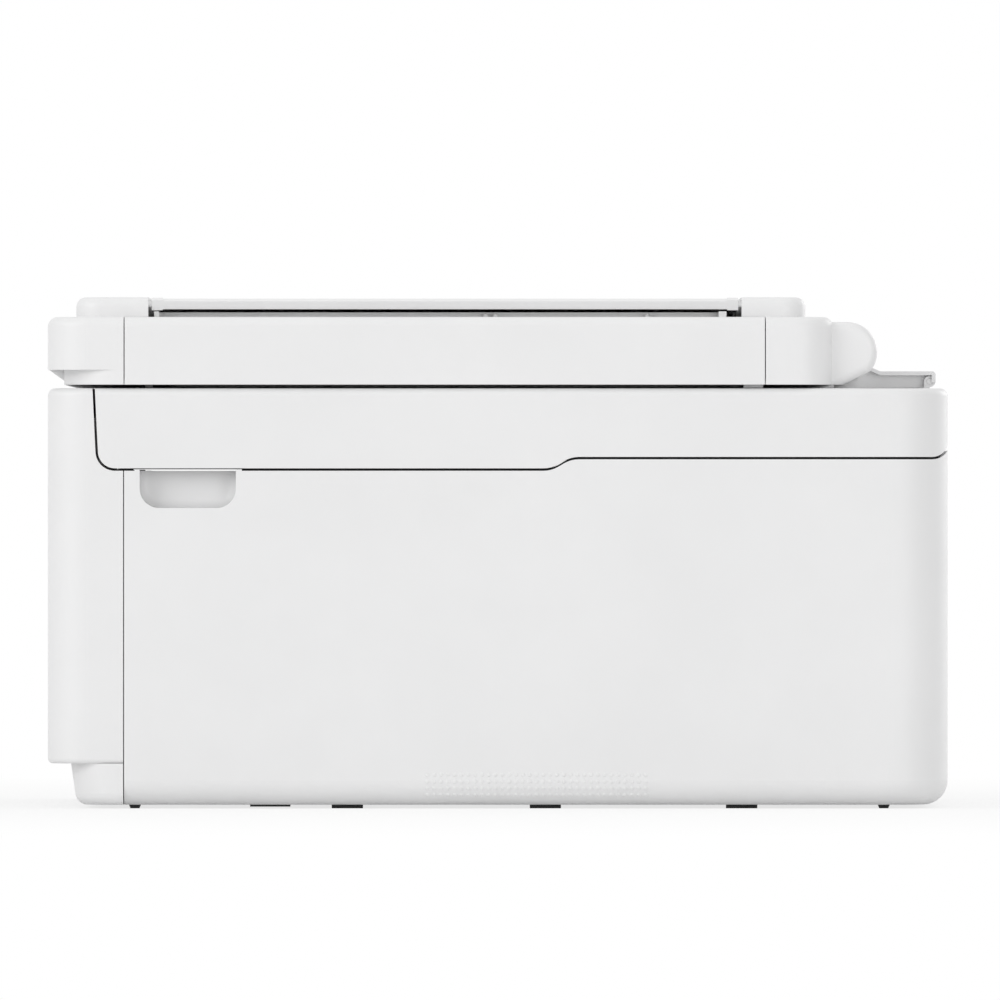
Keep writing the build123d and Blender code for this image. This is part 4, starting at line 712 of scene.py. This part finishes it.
pinSet = {"x": (-154.0, -146.0), "z": 34.0, "y": (171.0, 181.3), "radius": 1.15,
          "tip": ((1, 1.0), (0.8, 0.35), (0.4, 0), (0, 0))}             # share of radius, mm from end
dataSet = {"x": (145.6, 154.4), "z": (29.65, 38.4), "y": (174.0, 184.3), "sheet": 0.35, "corner": 0.6,
           "edge": 0.08, "steps": 3}
contactSet = {"x": (148.1, 149.3, 150.5, 151.7), "wide": 0.6, "y": (174.0, 180.6), "z": (31.85, 35.0),
              "sheet": 0.2, "edge": 0.06, "worn": 800, "rough": (0.2, 0.34),
              "colours": ((0.62, 0.43, 0.15), (0.72, 0.53, 0.22))}


def giltContact():
    material, tree, shader = startMaterial("gilt_contact")
    worn = spread(tree, noise(tree, contactSet["worn"], 3), 0, 1)
    tree.links.new(blendColours(tree, worn, *contactSet["colours"]), shader.inputs["Base Color"])
    shader.inputs["Metallic"].default_value = 1.0
    tree.links.new(spread(tree, worn, *contactSet["rough"], 0, 1), shader.inputs["Roughness"])
    return material


def socketMetal():
    mesh = bmesh.new()
    r = pinSet["radius"]
    y0, y1 = pinSet["y"]
    reach = y1 - y0
    pin = [(r, 0)] + [(r * share, reach - back) for share, back in pinSet["tip"]]
    for x in pinSet["x"]:
        turned(mesh, pin, (x, y0, pinSet["z"]), (0, 1, 0))
    newPiece("inlet_pins", mesh, "base", "shaft_steel")
    mesh = bmesh.new()
    (x0, x1), (z0, z1), t = dataSet["x"], dataSet["z"], dataSet["sheet"]
    outer = roundedPath(-x1, -x0, z0, z1, dataSet["corner"], dataSet["steps"])
    inner = roundedPath(-x1 + t, -x0 - t, z0 + t, z1 - t, dataSet["corner"] - t, dataSet["steps"])
    ringFrame(mesh, outer, inner, *dataSet["y"], facingBack, dataSet["edge"])
    newPiece("data_socket_lining", mesh, "base", "sheet_steel")
    mesh = bmesh.new()
    w, (y0, y1) = contactSet["wide"] / 2, contactSet["y"]
    for x in contactSet["x"]:
        for z in contactSet["z"]:
            softBlock(mesh, (x - w, y0, z), (x + w, y1, z + contactSet["sheet"]), contactSet["edge"], 1)
    newPiece("data_socket_contacts", mesh, "base", "shaft_steel", giltContact())


caseScrews()
socketMetal()
print("back and underside done")


# inside: timing strip and its reader, ink dots, cork pad, marks at the glass, grips

stripSet = {"x": 181.5, "y": (60.85, 61.05), "z": (107.0, 112.0), "edge": 0.05, "lines": 2400,
            "colours": ((0.10, 0.10, 0.11), (0.46, 0.48, 0.50)), "rough": (0.15, 0.28), "alpha": 0.85}
hookSet = {"x": (180.4, 184.9), "y": (59.9, 62.0), "z": (105.6, 113.2), "edge": 0.3}
readerSet = {"half": 5.0, "front": (57.8, 60.4), "back": (61.5, 62.5), "z": (105.5, 114.4), "bridge": 112.7,
             "edge": 0.25}


def timingFilm():
    material, tree, shader = startMaterial("timing_film")
    wave = addNode(tree, "ShaderNodeTexWave", {"Vector": objectPoint(tree), "Scale": stripSet["lines"]},
                   bands_direction="X").outputs["Fac"]
    tree.links.new(blendColours(tree, wave, *stripSet["colours"]), shader.inputs["Base Color"])
    tree.links.new(spread(tree, wave, *stripSet["rough"], 0, 1), shader.inputs["Roughness"])
    shader.inputs["Alpha"].default_value = stripSet["alpha"]
    return material


def timingStrip():
    mesh = bmesh.new()
    (y0, y1), (z0, z1) = stripSet["y"], stripSet["z"]
    softBlock(mesh, (-stripSet["x"], y0, z0), (stripSet["x"], y1, z1), stripSet["edge"], 1)
    newPiece("timing_strip", mesh, "base", "display", timingFilm())
    mesh = bmesh.new()
    (y0, y1), (z0, z1) = hookSet["y"], hookSet["z"]
    for side in (-1, 1):
        x0, x1 = sorted(side * x for x in hookSet["x"])
        softBlock(mesh, (x0, y0, z0), (x1, y1, z1), hookSet["edge"])
    newPiece("strip_hooks", mesh, "base", "sheet_steel")


def stripReader():
    low, high = (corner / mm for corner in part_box("print_carriage"))
    x0, x1 = (low.x + high.x) / 2 - readerSet["half"], (low.x + high.x) / 2 + readerSet["half"]
    z0, z1 = readerSet["z"]
    whole = (readerSet["front"][0], readerSet["back"][1])
    mesh = bmesh.new()
    jaws = ((readerSet["front"], z0), (readerSet["back"], z0), (whole, readerSet["bridge"]))
    for (y0, y1), bottom in jaws:
        softBlock(mesh, (x0, y0, bottom), (x1, y1, z1), readerSet["edge"])
    newPiece("strip_reader", mesh, "carriage", "inner_plastic")


inkSet = {"radius": 1.7, "rise": 0.3, "pitch": 5.5, "back": 12.0, "drop": 3.0,
          "dome": ((1, 0.5), (0.85, 1), (0, 1)),
          "left": ((0.0, 0.30, 0.62), (0.62, 0.02, 0.25), (0.85, 0.66, 0.02)),
          "right": ((0.20, 0.20, 0.21),),
          "finish": {"rough": (0.25, 0.35), "grain": 1500, "depth": 0.06}}


def inkDots():
    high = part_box("ink_cartridges")[1] / mm
    dome = [(inkSet["radius"], -sink)] + domed(inkSet)
    for side in ("left", "right"):
        latchLow, latchHigh = (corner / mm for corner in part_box("cartridge_latch_" + side))
        for i, colour in enumerate(inkSet[side]):
            x = (latchLow.x + latchHigh.x) / 2 + (i - (len(inkSet[side]) - 1) / 2) * inkSet["pitch"]
            spot = (x, high.y - inkSet["back"], high.z - inkSet["drop"])
            name = "ink_dot_%s_%d" % (side, i)
            mesh = bmesh.new()
            turned(mesh, dome, spot, (0, 0, 1))
            finish = mouldedPlastic(name, {"colour": colour, **inkSet["finish"]})
            newPiece(name, mesh, "carriage", "cartridge_plastic", finish)


corkSet = {"half": 14.0, "y": (94.0, 114.0), "rise": 0.9, "floor": 2.0, "corner": 2.0, "edge": 0.3,
           "steps": 4, "colour": (0.42, 0.25, 0.13), "tones": (0.6, 1.35), "crumbs": 700,
           "rough": 0.92, "relief": 0.5, "pit": 0.0002}


def corkFinish():
    material, tree, shader = startMaterial("cork")
    crumbs = cells(tree, corkSet["crumbs"])
    tone = channel(tree, crumbs.outputs["Color"], "Green")
    colour = blendColours(tree, tone, *(shade(corkSet["colour"], level) for level in corkSet["tones"]))
    tree.links.new(colour, shader.inputs["Base Color"])
    shader.inputs["Roughness"].default_value = corkSet["rough"]
    crust = bumpFrom(tree, crumbs.outputs["Distance"], corkSet["relief"], corkSet["pit"])
    tree.links.new(crust, shader.inputs["Normal"])
    return material


def corkPad():
    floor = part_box("cassette")[0].z / mm + corkSet["floor"]
    top, edge, (y0, y1) = floor + corkSet["rise"], corkSet["edge"], corkSet["y"]
    def path(inset):
        x = corkSet["half"] - inset
        return roundedPath(-x, x, y0 + inset, y1 - inset, corkSet["corner"] - inset, corkSet["steps"])
    mesh = bmesh.new()
    lofted(mesh, [(path(0), floor - sink), (path(0), top - edge), (path(edge), top)], lying)
    newPiece("cork_pad", mesh, "cassette", "absorber", corkFinish())


markSet = {"front": -133.5, "left": -153.0, "deck": 172.6, "x": (-150.0, 155.0), "y": (-130.0, 95.0),
           "pitch": 10.0, "short": 1.8, "long": 3.6, "every": 5, "wide": 0.5, "rise": 0.15, "edge": 0.05}


def markPlaces(start, stop):
    for i in range(int((stop - start) / markSet["pitch"]) + 1):
        yield start + i * markSet["pitch"], markSet["short" if i % markSet["every"] else "long"]


def glassMarks():
    mesh = bmesh.new()
    w, edge = markSet["wide"] / 2, markSet["edge"]
    z0, z1 = markSet["deck"] - sink, markSet["deck"] + markSet["rise"]
    front, left = markSet["front"], markSet["left"]
    for x, reach in markPlaces(*markSet["x"]):
        softBlock(mesh, (x - w, front - reach, z0), (x + w, front, z1), edge, 1)
    for y, reach in markPlaces(*markSet["y"]):
        softBlock(mesh, (left - reach, y - w, z0), (left, y + w, z1), edge, 1)
    newPiece("glass_marks", mesh, "scanner", "guide_plastic")


gripSet = {"wide": 1.1, "rise": 0.4, "root": 0.1, "edge": 0.25,
           "tray": {"x": (-87.0, -72.0), "half": 32.0, "y": -21.4, "z": 209.1, "count": 6},
           "extension": {"y": (-179.0, -168.0), "half": 22.0, "z": 62.0, "count": 5}}


def evenly(start, stop, count):
    return [start + (stop - start) * i / (count - 1) for i in range(count)]


def gripRidges():
    w, edge = gripSet["wide"] / 2, gripSet["edge"]
    look = gripSet["tray"]
    z0, z1 = look["z"] - gripSet["root"], look["z"] + gripSet["rise"]
    mesh = bmesh.new()
    for x in evenly(*look["x"], look["count"]):
        softBlock(mesh, (x - w, look["y"] - look["half"], z0), (x + w, look["y"] + look["half"], z1), edge)
    newPiece("tray_ridges", mesh, "document_tray", "shell")
    look = gripSet["extension"]
    z0, z1 = look["z"] - gripSet["root"], look["z"] + gripSet["rise"]
    mesh = bmesh.new()
    for y in evenly(*look["y"], look["count"]):
        softBlock(mesh, (-look["half"], y - w, z0), (look["half"], y + w, z1), edge)
    newPiece("extension_ridges", mesh, "output_extension", "shell")


timingStrip()
stripReader()
inkDots()
corkPad()
glassMarks()
gripRidges()
print("inner detail done")


# stage: pale floor, soft lamps, camera where the photograph was taken

cameraSet = {"distance": 12.0, "y": 0.85 * mm, "z": 126.7 * mm, "frameWidth": 410.55 * mm, "far": 60}
lampSet = {
    "key": {"at": (1.7, -1.9, 1.1), "size": 1.4, "watts": 18},
    "side": {"at": (2.0, 0.95, 0.38), "size": 1.0, "watts": 6},
    "top": {"at": (-0.2, 0.1, 1.9), "size": 1.8, "watts": 4},
    "back": {"at": (-1.8, 1.6, 0.7), "size": 1.3, "watts": 10},
}
worldSet = {"ambient": 0.69}
floorSet = {"size": 30.0, "colour": (0.86, 0.86, 0.86), "tones": (0.99, 1.01), "cloud": 3, "rough": 0.9,
            "glow": (0.74, 1.0), "fade": (0.3, 1.2)}


def seenDirectly(tree):
    path = addNode(tree, "ShaderNodeLightPath")
    either = plainMath(tree, "MAXIMUM", path.outputs["Is Camera Ray"], path.outputs["Is Glossy Ray"])
    return plainMath(tree, "MAXIMUM", either, path.outputs["Is Transmission Ray"])


def layFloor():
    bpy.ops.mesh.primitive_plane_add(size=floorSet["size"])
    floor = bpy.context.object
    floor.name = "floor"
    material, tree, shader = startMaterial("pale_floor")
    cloud = noise(tree, floorSet["cloud"], 2)
    tone = blendColours(tree, cloud, *(shade(floorSet["colour"], level) for level in floorSet["tones"]))
    tree.links.new(tone, shader.inputs["Base Color"])
    shader.inputs["Roughness"].default_value = floorSet["rough"]
    white = addNode(tree, "ShaderNodeEmission", {"Color": (1, 1, 1, 1), "Strength": 1.0})
    reach = vectorMath(tree, "LENGTH", objectPoint(tree)).outputs["Value"]
    glow = spread(tree, reach, *floorSet["glow"], *floorSet["fade"])    # keeps the shadow, white further out
    share = plainMath(tree, "MULTIPLY", seenDirectly(tree), glow)
    mix = addNode(tree, "ShaderNodeMixShader", {0: share, 1: shader.outputs[0], 2: white.outputs[0]})
    tree.links.new(mix.outputs[0], tree.nodes["Material Output"].inputs["Surface"])
    floor.data.materials.append(material)


def lightWorld():
    world = bpy.data.worlds.new("studio")
    world.use_nodes = True
    bpy.context.scene.world = world
    tree = world.node_tree
    ground = tree.nodes["Background"]
    ground.inputs["Color"].default_value = (1, 1, 1, 1)
    level = spread(tree, seenDirectly(tree), worldSet["ambient"], 1.0, 0, 1)
    tree.links.new(level, ground.inputs["Strength"])


def hangLamp(name, look, target):
    lamp = bpy.data.lights.new(name, "AREA")
    lamp.shape = "DISK"
    lamp.size = look["size"]
    lamp.energy = look["watts"]
    holder = bpy.data.objects.new(name, lamp)
    bpy.context.scene.collection.objects.link(holder)
    holder.location = look["at"]
    holder.rotation_euler = (target - holder.location).to_track_quat("-Z", "Y").to_euler()


def setCamera():
    data = bpy.data.cameras.new("camera")
    camera = bpy.data.objects.new("camera", data)
    bpy.context.scene.collection.objects.link(camera)
    near = cadBox[1].x
    camera.location = (near + cameraSet["distance"], cameraSet["y"], cameraSet["z"])
    camera.rotation_euler = (math.radians(90), 0, math.radians(90))
    data.lens = data.sensor_width * cameraSet["distance"] / cameraSet["frameWidth"]
    data.clip_end = cameraSet["far"]
    bpy.context.scene.camera = camera


layFloor()
lightWorld()
for name, look in lampSet.items():
    hangLamp(name, look, Vector((0, 0, cadBox[1].z / 2)))
setCamera()
bpy.context.scene.view_settings.view_transform = "Standard"
print("stage and camera set")
